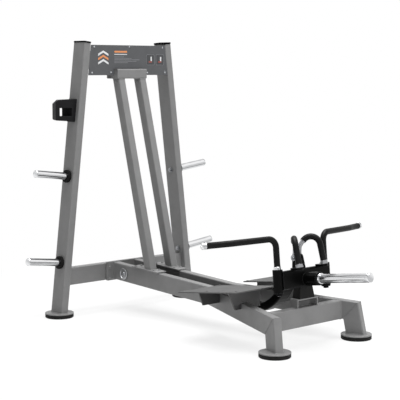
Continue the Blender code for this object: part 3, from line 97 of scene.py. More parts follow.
def coated_steel(name, edge_radius, colour, cloud, edge_highlight, roughness, shine):
    """Powder coat: cloudy colour, a painted highlight on the edges, orange-peel bump over a rounded edge.
    """
    material, place = new_material(name)
    clouds = add_node(material, "TexNoise",
                      {"Vector": place, "Scale": 1 / CLOUD_SIZE, "Detail": 3.0, "Roughness": 0.6})
    spread = add_node(material, "MapRange",
                      {"Value": clouds.outputs["Fac"], "From Min": 0.35, "From Max": 0.65})
    film = add_node(material, "Mix",
                    {0: spread.outputs["Result"], 6: linear(colour), 7: linear(cloud)},
                    {"data_type": "RGBA"})
    rounded = add_node(material, "Bevel", {"Radius": edge_radius}, {"samples": 6})
    flat = add_node(material, "NewGeometry").outputs["True Normal"]
    turned_by = add_node(material, "VectorMath", {0: rounded.outputs["Normal"], 1: flat},
                         {"operation": "DOT_PRODUCT"})
    # Painted highlight: paler colour where the rounded normal turns away from the flat face, along every
    # edge.
    edge_highlight_mask = add_node(material, "MapRange",
                    {"Value": turned_by.outputs["Value"], "From Min": EDGE_HIGHLIGHT_FROM,
                     "From Max": EDGE_HIGHLIGHT_FULL_AT, "To Min": 0.0, "To Max": EDGE_HIGHLIGHT_SHARE})
    colour_out = add_node(material, "Mix",
                          {0: edge_highlight_mask.outputs["Result"], 6: film.outputs[2], 7: linear(edge_highlight)},
                          {"data_type": "RGBA"})
    peel = add_node(material, "TexNoise",
                    {"Vector": place, "Scale": 1 / ORANGE_PEEL_SIZE, "Detail": 2.0, "Roughness": 0.5})
    skin = add_node(material, "Bump",
                    {"Height": peel.outputs["Fac"], "Strength": 0.12, "Distance": ORANGE_PEEL_DEPTH,
                     "Normal": rounded.outputs["Normal"]})
    gloss = add_node(material, "MapRange",
                     {"Value": clouds.outputs["Fac"], "From Min": NOISE_LOW, "From Max": NOISE_HIGH,
                      "To Min": roughness - GLOSS_DRIFT, "To Max": roughness + GLOSS_DRIFT})
    shader = add_node(material, "BsdfPrincipled",
                      {"Base Color": colour_out.outputs[2], "Roughness": gloss.outputs["Result"],
                       "Normal": skin.outputs["Normal"], "IOR": COAT_IOR, "Metallic": 0.0,
                       "Specular IOR Level": shine})
    add_node(material, "OutputMaterial", {"Surface": shader.outputs["BSDF"]})
    return material


def dress(material, *names):
    """Gives CAD nodes their finish."""
    for name in names:
        mesh = nodes[name].data
        mesh.materials.clear()
        mesh.materials.append(material)


def both(name):
    return ["left_" + name, "right_" + name]


grey_powder_coat = coated_steel("grey_powder_coated_steel", GREY_EDGE_RADIUS, **GREY_COAT)
dress(grey_powder_coat, *both("upright"), *both("rail"), *both("front_leg"), *both("strut"),
      *both("strut_base_plate"), "top_crossbeam", "rear_crossbeam",
      "front_crossbeam", "rail_end_plate", "strut_head", "strut_head_plate")


# Frame welds: a fillet run with wire round each tube end, then powder coated with the frame.
# The overlapping pools leave even ripples of light, drawn 5 mm apart where real ones are about
# 2 mm. The rail mitres are ground, so only a low band of 3 mm is left, and it hardly shows.

SIDES = (("left", -1), ("right", 1))
WELD_RADIUS = 0.0030
GROUND_WELD_PROUD = 0.0005
GROUND_WELD_SPREAD = 3.0
WELD_RIPPLE = 0.0050
WELD_RIPPLE_DIP = 0.78
WELD_SIDES = 6
WELD_EDGE_RADIUS = 0.0004
FACES_TOWARDS = 0.90
FLAT_WITHIN = 0.0005
SHARP_ANGLE = math.radians(38)
# Joint, tube, where its end faces on the right of the machine, and bead radius.
FRAME_WELDS = (("top_beam", "top_crossbeam", (1, 0, 0), WELD_RADIUS),
               ("rear_beam", "rear_crossbeam", (1, 0, 0), WELD_RADIUS),
               ("front_beam", "front_crossbeam", (1, 0, 0), WELD_RADIUS),
               ("rail_plate", "rail", (0, 1, 0), WELD_RADIUS),
               ("mitre", "front_leg", (-0.25, 0.71, 0.65), GROUND_WELD_PROUD),
               ("leg_foot", "front_leg", (0, 0, -1), WELD_RADIUS),
               ("upright_foot", "upright", (0, 0, -1), WELD_RADIUS),
               ("strut_foot", "strut", (0, 0, -1), WELD_RADIUS),
               ("strut_head", "strut", (0, 0, 1), WELD_RADIUS))


def end_outline(name, direction):
    """Outer outline of the flat end of a CAD solid, on the side that direction points to."""
    towards = Vector(direction).normalized()
    faces = [face for face in nodes[name].data.polygons if face.normal.dot(towards) > FACES_TOWARDS]
    last = max(faces, key=lambda face: face.center.dot(towards))
    normal = last.normal.copy()
    faces = [face for face in faces if abs((face.center - last.center).dot(normal)) < FLAT_WITHIN]
    corners = [nodes[name].data.vertices[i].co for face in faces for i in face.vertices]
    corners = list({corner.to_tuple(5): corner for corner in corners}.values())
    first = normal.orthogonal().normalized()
    second = normal.cross(first)
    flat = [Vector((corner.dot(first), corner.dot(second))) for corner in corners]
    return [corners[i].copy() for i in convex_hull_2d(flat)]


def outline_normal(outline):
    return sum((a.cross(b) for a, b in zip(outline, outline[1:] + outline[:1])), Vector()).normalized()


def add_ring(bm, middle, first, second, radius, sides):
    """Corners evenly round a middle, in the plane of two directions; no radius leaves one corner."""
    turns = [math.tau * i / sides for i in range(sides)] if radius else [0.0]
    return [bm.verts.new(middle + (first * math.cos(a) + second * math.sin(a)) * radius) for a in turns]


def stitch(bm, rings, closed=False, ends=False):
    """Skin from ring to ring; closed joins the last to the first, ends fills both."""
    sides = max(len(ring) for ring in rings)
    for low, high in zip(rings, rings[1:] + (rings[:1] if closed else [])):
        for i in range(sides):
            j = (i + 1) % sides
            if len(low) == 1:
                bm.faces.new((low[0], high[j], high[i]))
            elif len(high) == 1:
                bm.faces.new((low[i], low[j], high[0]))
            else:
                bm.faces.new((low[i], low[j], high[j], high[i]))
    if ends:
        bm.faces.new(rings[0])
        bm.faces.new(rings[-1])


def add_piece(name, bm, material, body="frame"):
    """Puts a finished mesh in the scene, with its finish and its body."""
    bmesh.ops.recalc_face_normals(bm, faces=bm.faces[:])
    mesh = bpy.data.meshes.new(name)
    bm.to_mesh(mesh)
    bm.free()
    mesh.materials.append(material)
    mesh.shade_smooth()
    mesh.set_sharp_from_angle(angle=SHARP_ANGLE)
    piece = bpy.data.objects.new(name, mesh)
    bpy.context.scene.collection.objects.link(piece)
    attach(piece, body)
    return piece


def weld_bead(name, outline, radius, material, body="frame"):
    """Rippled round bead along a closed outline, half of it sunk in the joint; a ground one is flat."""
    ground = radius == GROUND_WELD_PROUD
    spread = GROUND_WELD_SPREAD if ground else 1.0
    dip = 1.0 if ground else WELD_RIPPLE_DIP
    points = []
    for start, stop in zip(outline, outline[1:] + outline[:1]):
        steps = max(1, round((stop - start).length / (WELD_RIPPLE / 2)))
        points += [start.lerp(stop, i / steps) for i in range(steps)]
    normal = outline_normal(points)
    bm = bmesh.new()
    rings = []
    for i, point in enumerate(points):
        run = (points[(i + 1) % len(points)] - points[i - 1]).normalized()
        reach = radius if i % 2 else radius * dip
        rings.append(add_ring(bm, point, normal * spread, run.cross(normal), reach, WELD_SIDES))
    stitch(bm, rings, closed=True)
    return add_piece(name, bm, material, body)


grey_weld_coat = coated_steel("grey_powder_coated_weld", WELD_EDGE_RADIUS, **GREY_COAT)
for joint, tube, (x, y, z), bead_radius in FRAME_WELDS:
    for word, side in SIDES:
        tube_name = tube if tube in nodes else "%s_%s" % (word, tube)
        weld_bead("%s_%s_weld" % (word, joint), end_outline(tube_name, (side * x, y, z)), bead_radius,
                  grey_weld_coat)


# Head end plates: 3 mm steel plate let into each end of the short head tube and welded flush.
# They are coated with the frame; a thin groove is left at the rim.

END_PLATE_INSET = 0.0010
END_PLATE_THICK = 0.0030


def middle_of(points):
    return sum(points, Vector()) / len(points)


for word, side in SIDES:
    outward = Vector((side, 0, 0))
    rim = end_outline("strut_head", outward)
    middle = middle_of(rim)
    plate = bmesh.new()
    stitch(plate, [[plate.verts.new(corner + (middle - corner).normalized() * 2 * END_PLATE_INSET
                                    - outward * depth) for corner in rim]
                   for depth in (END_PLATE_INSET, END_PLATE_INSET + END_PLATE_THICK)], ends=True)
    add_piece(word + "_head_end_plate", plate, grey_powder_coat)


# Feet: four moulded black rubber pads, pressed up under steel discs that are welded to the tubes.
# The rubber is matt and a little dusty, and its side carries fine moulded grip rings. Its grain
# is drawn at 1.2 mm, coarser than a real one, so that it breaks up the light.

PAD_RUBBER = {"colour": "#181818", "pale": "#222221", "roughness": 0.68, "shine": 0.12}
PAD_RING_PITCH = 0.0044
PAD_RING_DEPTH = 0.0006
UNIT_WAVE_LENGTH = math.pi / 10
PALE_PATCH_SIZE = 0.030
RUBBER_GRAIN_SIZE = 0.0012
RUBBER_GRAIN_DEPTH = 0.0003
RUBBER_IOR = 1.52
WEAR_DRIFT = 0.05


def moulded_black(name, colour, pale, roughness, shine, ring_pitch=None):
    """Moulded rubber or plastic: fine grain, paler in patches, with rings where they have a pitch."""
    material, place = new_material(name)
    patches = add_node(material, "TexNoise",
                       {"Vector": place, "Scale": 1 / PALE_PATCH_SIZE, "Detail": 4.0, "Roughness": 0.65})
    spread = add_node(material, "MapRange",
                      {"Value": patches.outputs["Fac"], "From Min": 0.45, "From Max": 0.75})
    film = add_node(material, "Mix",
                    {0: spread.outputs["Result"], 6: linear(colour), 7: linear(pale)},
                    {"data_type": "RGBA"})
    grain = add_node(material, "TexNoise",
                     {"Vector": place, "Scale": 1 / RUBBER_GRAIN_SIZE, "Detail": 2.0})
    relief = {"Height": grain.outputs["Fac"], "Strength": 0.25, "Distance": RUBBER_GRAIN_DEPTH}
    if ring_pitch:
        rings = add_node(material, "TexWave",
                         {"Vector": place, "Scale": UNIT_WAVE_LENGTH / ring_pitch, "Distortion": 0.0},
                         {"bands_direction": "Z"})
        ribbed = add_node(material, "Bump",
                          {"Height": rings.outputs["Fac"], "Strength": 0.8, "Distance": PAD_RING_DEPTH})
        relief["Normal"] = ribbed.outputs["Normal"]
    skin = add_node(material, "Bump", relief)
    worn = add_node(material, "MapRange",
                    {"Value": patches.outputs["Fac"], "From Min": NOISE_LOW, "From Max": NOISE_HIGH,
                     "To Min": roughness - WEAR_DRIFT, "To Max": roughness + WEAR_DRIFT})
    shader = add_node(material, "BsdfPrincipled",
                      {"Base Color": film.outputs[2], "Roughness": worn.outputs["Result"],
                       "Normal": skin.outputs["Normal"], "IOR": RUBBER_IOR, "Metallic": 0.0,
                       "Specular IOR Level": shine})
    add_node(material, "OutputMaterial", {"Surface": shader.outputs["BSDF"]})
    return material


pad_rubber = moulded_black("moulded_pad_rubber", ring_pitch=PAD_RING_PITCH, **PAD_RUBBER)
dress(pad_rubber, *both("rear_foot_pad"), *both("front_foot_pad"))
dress(grey_powder_coat, *both("rear_foot_disc"), *both("front_foot_disc"))


# Upright caps: black polypropylene, pushed over the open tube ends, with a plug inside the tube.
# Injection moulding leaves a fine dull grain, so a cap stays black in the light. Its skirt stands
# a little proud of the tube.

CAP_PLASTIC = {"colour": "#0b0b0c", "pale": "#121213", "roughness": 0.52, "shine": 0.0}
# Each step's place outside the tube's outline, and its place above the tube's end.
CAP_STEPS = ((-0.0050, -0.0200), (-0.0046, 0.0002), (0.0003, 0.0002), (0.0003, -0.0066),
             (0.0019, -0.0066), (0.0022, 0.0018), (0.0012, 0.0030), (-0.0080, 0.0036))

cap_plastic = moulded_black("moulded_cap_polypropylene", **CAP_PLASTIC)


def offset_outline(outline, normal, amount):
    """Outline moved outwards in its own plane."""
    moved = []
    for i, corner in enumerate(outline):
        before = (corner - outline[i - 1]).normalized().cross(normal)
        after = (outline[(i + 1) % len(outline)] - corner).normalized().cross(normal)
        out = (before + after).normalized()
        moved.append(corner + out * amount / out.dot(before))
    return moved


for tube in both("upright"):
    rim = end_outline(tube, (0, 0, 1))
    up = outline_normal(rim)
    cap = bmesh.new()
    stitch(cap, [[cap.verts.new(corner + up * level) for corner in offset_outline(rim, up, amount)]
                 for amount, level in CAP_STEPS], ends=True)
    cap_piece = add_piece(tube + "_slip_over_cap", cap, cap_plastic)
    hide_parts(tube + "_cap")


# Sign panel: 3 mm sheet steel under a matt dark grey film, screwed over the top crossbeam. Its
# print is flat matt ink: stacked chevrons, rules, and two rounded tiles with a mark in each. Seven
# button-head screws hold it. Their zinc plate is a dull silver with fine tool marks.

# The edge colour is a painted highlight along the panel's rounded edges.
PANEL_FILM = {"colour": "#4f5052", "cloud": "#4c4d4f", "edge_highlight": "#68696b", "roughness": 0.50, "shine": 0.3}
PANEL_EDGE_RADIUS = 0.0008
PANEL_FACE_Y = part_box("sign_panel")[0].y
INKS = {"light": "#cfd0d1", "orange": "#cb8354", "grey": "#808184", "dark": "#3a3b3d", "red": "#a5493b"}
INK_ROUGHNESS = 0.55
INK_IOR = 1.48
INK_THICK = 0.0003
INK_SUNK = 0.0002
INK_MOTTLE_SIZE = 0.004
INK_MOTTLE_DEPTH = 0.0002
CHEVRON_INKS = ("light", "orange", "light")
CHEVRON_X = -0.205
CHEVRON_Z = 1.513
CHEVRON_PITCH = 0.026
CHEVRON_HALF_WIDE = 0.040
CHEVRON_RISE = 0.020
CHEVRON_BAND = 0.013
RULES_LEFT = -0.118
# Each rule's low edge, width, height and ink.
RULES = ((1.6120, 0.102, 0.0110, "orange"), (1.5990, 0.102, 0.0045, "light"),
         (1.5850, 0.078, 0.0022, "grey"), (1.5760, 0.138, 0.0022, "grey"),
         (1.5670, 0.203, 0.0026, "grey"), (1.5580, 0.178, 0.0026, "grey"),
         (1.5490, 0.108, 0.0022, "grey"))
TILE_X = (0.176, 0.256)
TILE_Z = 1.569
# A tile's half width and corner radius, and those of the ring round it, outside and inside.
TILE_SIZE = (0.0300, 0.006)
TILE_RING = ((0.0330, 0.008), (0.0318, 0.007))
TILE_CORNER_STEPS = 6
# Each mark's name, its left and low edge from the tile's middle, its width, height and ink.
TILE_MARKS = (("mark", 0.001, -0.008, 0.010, 0.027, "light"),
              ("accent", -0.015, -0.016, 0.026, 0.005, "red"))
PANEL_SCREW_PLACES = ((-0.2730, 1.6447), (0.0042, 1.6467), (0.2785, 1.6447), (-0.2918, 1.4871),
                      (-0.1431, 1.4880), (0.1513, 1.4860), (0.2992, 1.4869))
SCREW_HEAD = ((0.0, -0.0010), (0.0058, -0.0010), (0.0062, 0.0004), (0.0052, 0.0020), (0.0034, 0.0027),
              (0.0030, 0.0027), (0.0026, 0.0010), (0.0, 0.0010))
SCREW_STEPS = 24
ZINC = {"colour": "#a7a9ac", "shade": "#85878a", "roughness": 0.34}
TOOL_MARK_SIZE = 0.0020
TOOL_MARK_DEPTH = 0.0003
TOOL_MARK_DRIFT = 0.06

panel_film = coated_steel("printed_panel_film", PANEL_EDGE_RADIUS, **PANEL_FILM)
dress(panel_film, "sign_panel")


def screen_ink(name, colour):
    """Screen-printed ink: the faint mottle of the mesh it was pressed through, drawn coarse."""
    material, place = new_material(name)
    mottle = add_node(material, "TexNoise", {"Vector": place, "Scale": 1 / INK_MOTTLE_SIZE, "Detail": 2.0})
    film = add_node(material, "Mix", {0: 0.10, 6: linear(colour), 7: mottle.outputs["Color"]},
                    {"data_type": "RGBA", "blend_type": "MULTIPLY"})
    skin = add_node(material, "Bump",
                    {"Height": mottle.outputs["Fac"], "Strength": 0.2, "Distance": INK_MOTTLE_DEPTH})
    shader = add_node(material, "BsdfPrincipled",
                      {"Base Color": film.outputs[2], "Roughness": INK_ROUGHNESS,
                       "Normal": skin.outputs["Normal"], "IOR": INK_IOR, "Metallic": 0.0})
    add_node(material, "OutputMaterial", {"Surface": shader.outputs["BSDF"]})
    return material


def printed_shape(name, outline, ink, hole=None, layers=1):
    """Thin layer of ink on the panel, from an outline in X and Z, with or without a hole."""
    levels = (PANEL_FACE_Y - INK_THICK * layers, PANEL_FACE_Y + INK_SUNK)
    bm = bmesh.new()
    outer = [[bm.verts.new((x, y, z)) for x, z in outline] for y in levels]
    stitch(bm, outer, ends=not hole)
    if hole:
        inner = [[bm.verts.new((x, y, z)) for x, z in hole] for y in levels]
        stitch(bm, inner)
        for wide, narrow in zip(outer, inner):
            stitch(bm, [wide, narrow])
    return add_piece(name, bm, inks[ink])


def chevron(x, z):
    """Outline of an upward chevron whose foot is at z."""
    left, right = x - CHEVRON_HALF_WIDE, x + CHEVRON_HALF_WIDE
    return [(left, z), (x, z + CHEVRON_RISE), (right, z), (right, z + CHEVRON_BAND),
            (x, z + CHEVRON_RISE + CHEVRON_BAND), (left, z + CHEVRON_BAND)]


def oblong(left, low, wide, tall):
    return [(left, low), (left + wide, low), (left + wide, low + tall), (left, low + tall)]


def rounded_tile(x, z, half, corner):
    """Outline of a square with rounded corners."""
    outline = []
    for quarter, (across, up) in enumerate(((1, 1), (-1, 1), (-1, -1), (1, -1))):
        for step in range(TILE_CORNER_STEPS + 1):
            turn_by = math.pi / 2 * (quarter + step / TILE_CORNER_STEPS)
            outline.append((x + across * (half - corner) + corner * math.cos(turn_by),
                            z + up * (half - corner) + corner * math.sin(turn_by)))
    return outline


inks = {ink: screen_ink(ink + "_screen_ink", colour) for ink, colour in INKS.items()}
for number, ink in enumerate(CHEVRON_INKS, 1):
    printed_shape("printed_chevron_%d" % number,
                  chevron(CHEVRON_X, CHEVRON_Z + CHEVRON_PITCH * number), ink)
for number, (low, wide, tall, ink) in enumerate(RULES, 1):
    printed_shape("printed_rule_%d" % number, oblong(RULES_LEFT, low, wide, tall), ink)
for number, x in enumerate(TILE_X, 1):
    ring_outside, ring_inside = [rounded_tile(x, TILE_Z, *size) for size in TILE_RING]
    printed_shape("printed_tile_%d" % number, rounded_tile(x, TILE_Z, *TILE_SIZE), "dark")
    printed_shape("printed_tile_ring_%d" % number, ring_outside, "grey", ring_inside)
    for shape, left, low, wide, tall, ink in TILE_MARKS:
        printed_shape("printed_%s_%d" % (shape, number), oblong(x + left, TILE_Z + low, wide, tall), ink,
                      layers=2)


def turned_piece(name, parts, origin, axis, material, body="frame", closed=False):
    """One piece of lathe-turned parts on one axis: each has a profile, of radius and place along
    the axis, and a number of sides."""
    axis = axis.normalized()
    side = axis.orthogonal().normalized()
    other = axis.cross(side)
    bm = bmesh.new()
    for profile, sides in parts:
        stitch(bm, [add_ring(bm, origin + axis * along, side, other, radius, sides)
                    for radius, along in profile], closed)
    return add_piece(name, bm, material, body)


def turned_metal(name, colour, shade, roughness):
    """Machined metal: fine tool marks, drawn coarse enough to show."""
    material, place = new_material(name)
    marks = add_node(material, "TexNoise", {"Vector": place, "Scale": 1 / TOOL_MARK_SIZE, "Detail": 2.0})
    film = add_node(material, "Mix", {0: marks.outputs["Fac"], 6: linear(colour), 7: linear(shade)},
                    {"data_type": "RGBA"})
    cut = add_node(material, "Bump",
                   {"Height": marks.outputs["Fac"], "Strength": 0.2, "Distance": TOOL_MARK_DEPTH})
    worn = add_node(material, "MapRange",
                    {"Value": marks.outputs["Fac"], "To Min": roughness - TOOL_MARK_DRIFT,
                     "To Max": roughness + TOOL_MARK_DRIFT})
    shader = add_node(material, "BsdfPrincipled",
                      {"Base Color": film.outputs[2], "Roughness": worn.outputs["Result"],
                       "Normal": cut.outputs["Normal"], "Metallic": 1.0})
    add_node(material, "OutputMaterial", {"Surface": shader.outputs["BSDF"]})
    return material


zinc_plate = turned_metal("zinc_plated_steel", **ZINC)
for number, (x, z) in enumerate(PANEL_SCREW_PLACES, 1):
    turned_piece("panel_screw_%d" % number, [(SCREW_HEAD, SCREW_STEPS)],
                 Vector((x, PANEL_FACE_Y, z)), Vector((0, -1, 0)), zinc_plate)


# Frame bolts: hexagon bolts on flat washers, coated grey with the frame before they were driven.
# They hold the struts to their head, the base plates to the rails and the rails to the end plate.

BOLT_CORNER = 0.0088
SMALL_BOLT_CORNER = 0.0068
WASHER_BY_CORNER = 1.25
WASHER_SUNK = 0.0005
WASHER_STEPS = 28
HEXAGON = 6
STRUT_MID_X = 0.0853
STRUT_BOLT_Z = 1.432
STRUT_BOLT_Y = 0.902
BASE_BOLT_Y = (0.558, 0.725)
BASE_BOLT_SPREAD = 0.023
END_PLATE_BOLT_X = 0.1430
END_PLATE_BOLT_Z = (0.198, 0.269)
CLEAR_BESIDE_STRUT = 0.1
CLEAR_BEFORE_END_PLATE_Y = 0.5
CLEAR_ABOVE_Z = 0.5


def seat_on(name, start, direction):
    """Point and outward normal where a straight line from start meets a CAD node."""
    mesh = nodes[name].data
    tree = BVHTree.FromPolygons([v.co for v in mesh.vertices], [f.vertices for f in mesh.polygons])
    place, normal, _, _ = tree.ray_cast(Vector(start), Vector(direction))
    return place, normal


def hex_bolt(name, place, normal, corner, material, slot):
    """Flat washer and hexagon head with a chamfered top, sized from the head's corner radius."""
    rim = WASHER_BY_CORNER * corner
    washer = ((0.0, -WASHER_SUNK), (rim, -WASHER_SUNK), (rim, 0.15 * corner),
              (0.96 * rim, 0.20 * corner), (0.0, 0.20 * corner))
    head = ((0.0, 0.15 * corner), (corner, 0.15 * corner), (corner, 0.78 * corner),
            (0.90 * corner, 0.88 * corner), (0.0, 0.88 * corner))
    return turned_piece(name, [(washer, WASHER_STEPS), (head, HEXAGON)], place, normal, material)


for word, side in SIDES:
    strut_x = side * STRUT_MID_X
    for where, towards in (("outer", -side), ("inner", side)):
        start = (strut_x - towards * CLEAR_BESIDE_STRUT, STRUT_BOLT_Y, STRUT_BOLT_Z)
        hex_bolt("%s_strut_%s_bolt" % (word, where), *seat_on(word + "_strut", start, (towards, 0, 0)),
                 SMALL_BOLT_CORNER, grey_powder_coat, "grey_powder_coat")
    for row, y in enumerate(BASE_BOLT_Y, 1):
        for where, offset in (("outer", side), ("inner", -side)):
            start = (strut_x + offset * BASE_BOLT_SPREAD, y, CLEAR_ABOVE_Z)
            hex_bolt("%s_base_%s_bolt_%d" % (word, where, row),
                     *seat_on(word + "_strut_base_plate", start, (0, 0, -1)),
                     SMALL_BOLT_CORNER, grey_powder_coat, "grey_powder_coat")
    for row, z in enumerate(END_PLATE_BOLT_Z, 1):
        start = (side * END_PLATE_BOLT_X, CLEAR_BEFORE_END_PLATE_Y, z)
        hex_bolt("%s_end_plate_bolt_%d" % (word, row), *seat_on("rail_end_plate", start, (0, 1, 0)),
                 BOLT_CORNER, grey_powder_coat, "grey_powder_coat")


# Storage pegs: chrome plated steel bar, polished before plating, on a stud through each upright.
# A plug closes each tip. Plating gives a bright mirror with faint long polishing hazes. The room it
# mirrors, bright bands with dark streaks, is a painted reflection in its colour, set by which way the
# surface faces. A matt black rubber collar at each root keeps the plates off the upright, and a nut holds
# the stud.

CHROME_HAZE = "#d9dadc"
CHROME_ROUGHNESS = 0.12
HAZE_LENGTH = 0.060
HORIZON_WOBBLE = 0.16
# Painted reflection: the surface's facing along this upward direction, wobbled by the haze, picks a colour
# from the ramp of the room that the chrome is painted to mirror.
ROOM_UPWARD = (0.50, -0.25, 0.83)
PAINTED_ROOM_REFLECTION = ((0.00, "#8c8d90"), (0.035, "#4c4d50"), (0.08, "#dedfe1"), (0.22, "#e8e9ea"),
                 (0.34, "#c2c3c5"), (0.42, "#e6e7e8"), (0.49, "#3e3f42"), (0.55, "#c8c9ca"),
                 (0.66, "#bebfc1"), (0.76, "#f0f0f1"), (0.86, "#f0f0f1"), (0.94, "#67686b"),
                 (1.00, "#b4b5b7"))
COLLAR_RUBBER = {"colour": "#0e0e0e", "pale": "#171716", "roughness": 0.60, "shine": 0.08}
PEG_STEPS = 48
PEG_PROFILE = ((0.0, 0.0), (0.0230, 0.0), (0.0230, 0.2355), (0.0219, 0.2362), (0.0219, 0.2378),
               (0.0228, 0.2386), (0.0226, 0.2412), (0.0216, 0.2434), (0.0200, 0.2446), (0.0, 0.2447))
PEG_STUD_PROFILE = ((0.0, -0.0676), (0.0070, -0.0676), (0.0080, -0.0666), (0.0080, -0.0540),
                    (0.0160, -0.0536), (0.0160, -0.0508), (0.0080, -0.0506), (0.0080, 0.0), (0.0, 0.0))
PEG_NUT_PROFILE = ((0.0, -0.0636), (0.0122, -0.0636), (0.0135, -0.0622), (0.0135, -0.0537),
                   (0.0, -0.0537))
COLLAR_PROFILE = ((0.0233, 0.0), (0.0372, 0.0), (0.0388, 0.0016), (0.0392, 0.0046), (0.0392, 0.0138),
                  (0.0384, 0.0162), (0.0362, 0.0174), (0.0250, 0.0174), (0.0233, 0.0162))
PEG_RISE = 0.1


def chrome_plated(name, roughness):
    """Polished chrome: a hazy mirror whose colour carries a painted reflection, bright bands with the dark
    gaps between the studio's lamps painted as streaks.

    Which way the surface faces gives the place in the painted reflection of the room.
    """
    material, place = new_material(name)
    haze = add_node(material, "TexNoise",
                    {"Vector": place, "Scale": 1 / HAZE_LENGTH, "Detail": 2.0, "Roughness": 0.5})
    facing = add_node(material, "NewGeometry").outputs["Normal"]
    height = add_node(material, "VectorMath", {0: facing, 1: ROOM_UPWARD}, {"operation": "DOT_PRODUCT"})
    wavy = add_node(material, "Math",
                    {0: haze.outputs["Fac"], 1: HORIZON_WOBBLE, 2: height.outputs["Value"]},
                    {"operation": "MULTIPLY_ADD"})
    across = add_node(material, "MapRange",
                      {"Value": wavy.outputs["Value"], "From Min": HORIZON_WOBBLE / 2 - 1,
                       "From Max": HORIZON_WOBBLE / 2 + 1})
    painted_reflection = add_node(material, "ValToRGB", {"Fac": across.outputs["Result"]})
    stops = painted_reflection.color_ramp.elements
    for spot, colour in PAINTED_ROOM_REFLECTION[1:-1]:
        stops.new(spot).color = linear(colour)
    stops[0].color = linear(PAINTED_ROOM_REFLECTION[0][1])
    stops[-1].color = linear(PAINTED_ROOM_REFLECTION[-1][1])
    spread = add_node(material, "MapRange",
                      {"Value": haze.outputs["Fac"], "From Min": 0.45, "From Max": 0.8, "To Max": 0.35})
    film = add_node(material, "Mix",
                    {0: spread.outputs["Result"], 6: painted_reflection.outputs["Color"], 7: linear(CHROME_HAZE)},
                    {"data_type": "RGBA"})
    gloss = add_node(material, "MapRange",
                     {"Value": haze.outputs["Fac"], "From Min": NOISE_LOW, "From Max": NOISE_HIGH,
                      "To Min": roughness - GLOSS_DRIFT, "To Max": roughness + GLOSS_DRIFT})
    shader = add_node(material, "BsdfPrincipled",
                      {"Base Color": film.outputs[2], "Roughness": gloss.outputs["Result"],
                       "Metallic": 1.0})
    add_node(material, "OutputMaterial", {"Surface": shader.outputs["BSDF"]})
    return material


polished_chrome = chrome_plated("polished_chrome_plate", CHROME_ROUGHNESS)
collar_rubber = moulded_black("turned_collar_rubber", **COLLAR_RUBBER)
for word, side in SIDES:
    for level in ("lower", "upper"):
        peg_name = "%s_%s" % (word, level)
        at_face = middle_of(end_outline(peg_name + "_peg_collar", (-side, 0, -PEG_RISE)))
        outer_end = middle_of(end_outline(peg_name + "_peg_collar", (side, 0, PEG_RISE)))
        outward = (outer_end - at_face).normalized()
        peg_piece = turned_piece(peg_name + "_chrome_peg", [(PEG_PROFILE, PEG_STEPS)], at_face, outward,
                                 polished_chrome)
        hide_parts(peg_name + "_storage_peg")
        turned_piece(peg_name + "_peg_nut", [(PEG_STUD_PROFILE, SCREW_STEPS), (PEG_NUT_PROFILE, HEXAGON)],
                     at_face, outward, zinc_plate)
        collar_piece = turned_piece(peg_name + "_rubber_collar", [(COLLAR_PROFILE, PEG_STEPS)], at_face,
                                    outward, collar_rubber, closed=True)
        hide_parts(peg_name + "_peg_collar")


# Accessory holder: folded and welded sheet steel with a window for hooks, on the left upright.
# Coated in matt black, so it keeps only a soft grey sheen. A black bead joins it to the tube.

# The edge colour is a painted highlight along the holder's rounded edges.
MATT_BLACK = {"colour": "#181819", "cloud": "#1c1c1d", "edge_highlight": "#242425", "roughness": 0.55, "shine": 0.08}
HOLDER_EDGE_RADIUS = 0.0040
HOLDER_INWARD = (1, 0, -0.12)

matt_black_coat = coated_steel("matt_black_powder_coated_steel", HOLDER_EDGE_RADIUS, **MATT_BLACK)
dress(matt_black_coat, "accessory_holder")
weld_bead("accessory_holder_weld", end_outline("accessory_holder", HOLDER_INWARD), WELD_RADIUS,
          matt_black_coat)


# Pivot: turned steel axle in two sintered bronze bushes, closed by turned steel caps outside the
# rails. The steel is bright with fine tool marks and the bronze a dull brown gold. A hexagon
# screw in the middle of each cap holds it on the axle.

TURNED_STEEL = {"colour": "#b9babc", "shade": "#9b9c9f", "roughness": 0.30}
BRONZE = {"colour": "#ad8e61", "shade": "#8f7148", "roughness": 0.38}
PIVOT_CENTRE = Vector((0.0, 0.83601, 0.236))
PIVOT_SCREW_CORNER = 0.0080

turned_steel = turned_metal("turned_steel", **TURNED_STEEL)
dress(turned_steel, "pivot_axle", *both("pivot_cap"))
sintered_bronze = turned_metal("sintered_bronze", **BRONZE)
dress(sintered_bronze, *both("pivot_bush"))
for word, side in SIDES:
    start = PIVOT_CENTRE + Vector((side, 0, 0))
    hex_bolt(word + "_pivot_screw", *seat_on(word + "_pivot_cap", start, (-side, 0, 0)),
             PIVOT_SCREW_CORNER, zinc_plate, "bare_steel")


# Standing plates: 6 mm steel plate, toe end higher, on two tapered gussets welded to each rail.
# The coat is a coarser, darker and quite matt grey that shoes grip. Three low button-head bolts
# show on each plate.

# The edge colour is a bright painted highlight along the plate edges.
GRIP_COAT = {"colour": "#545454", "cloud": "#4e4e4e", "edge_highlight": "#a5a5a5", "roughness": 0.62, "shine": 0.15}
STEP_EDGE_RADIUS = 0.0022
STEP_BOLT_PLACES = ((0.3835, -0.2093), (0.3747, -0.4270), (0.1141, -0.0286))
STEP_BUTTON = ((0.0, -0.0008), (0.0075, -0.0008), (0.0078, 0.0008), (0.0062, 0.0030), (0.0030, 0.0042),
               (0.0, 0.0044))

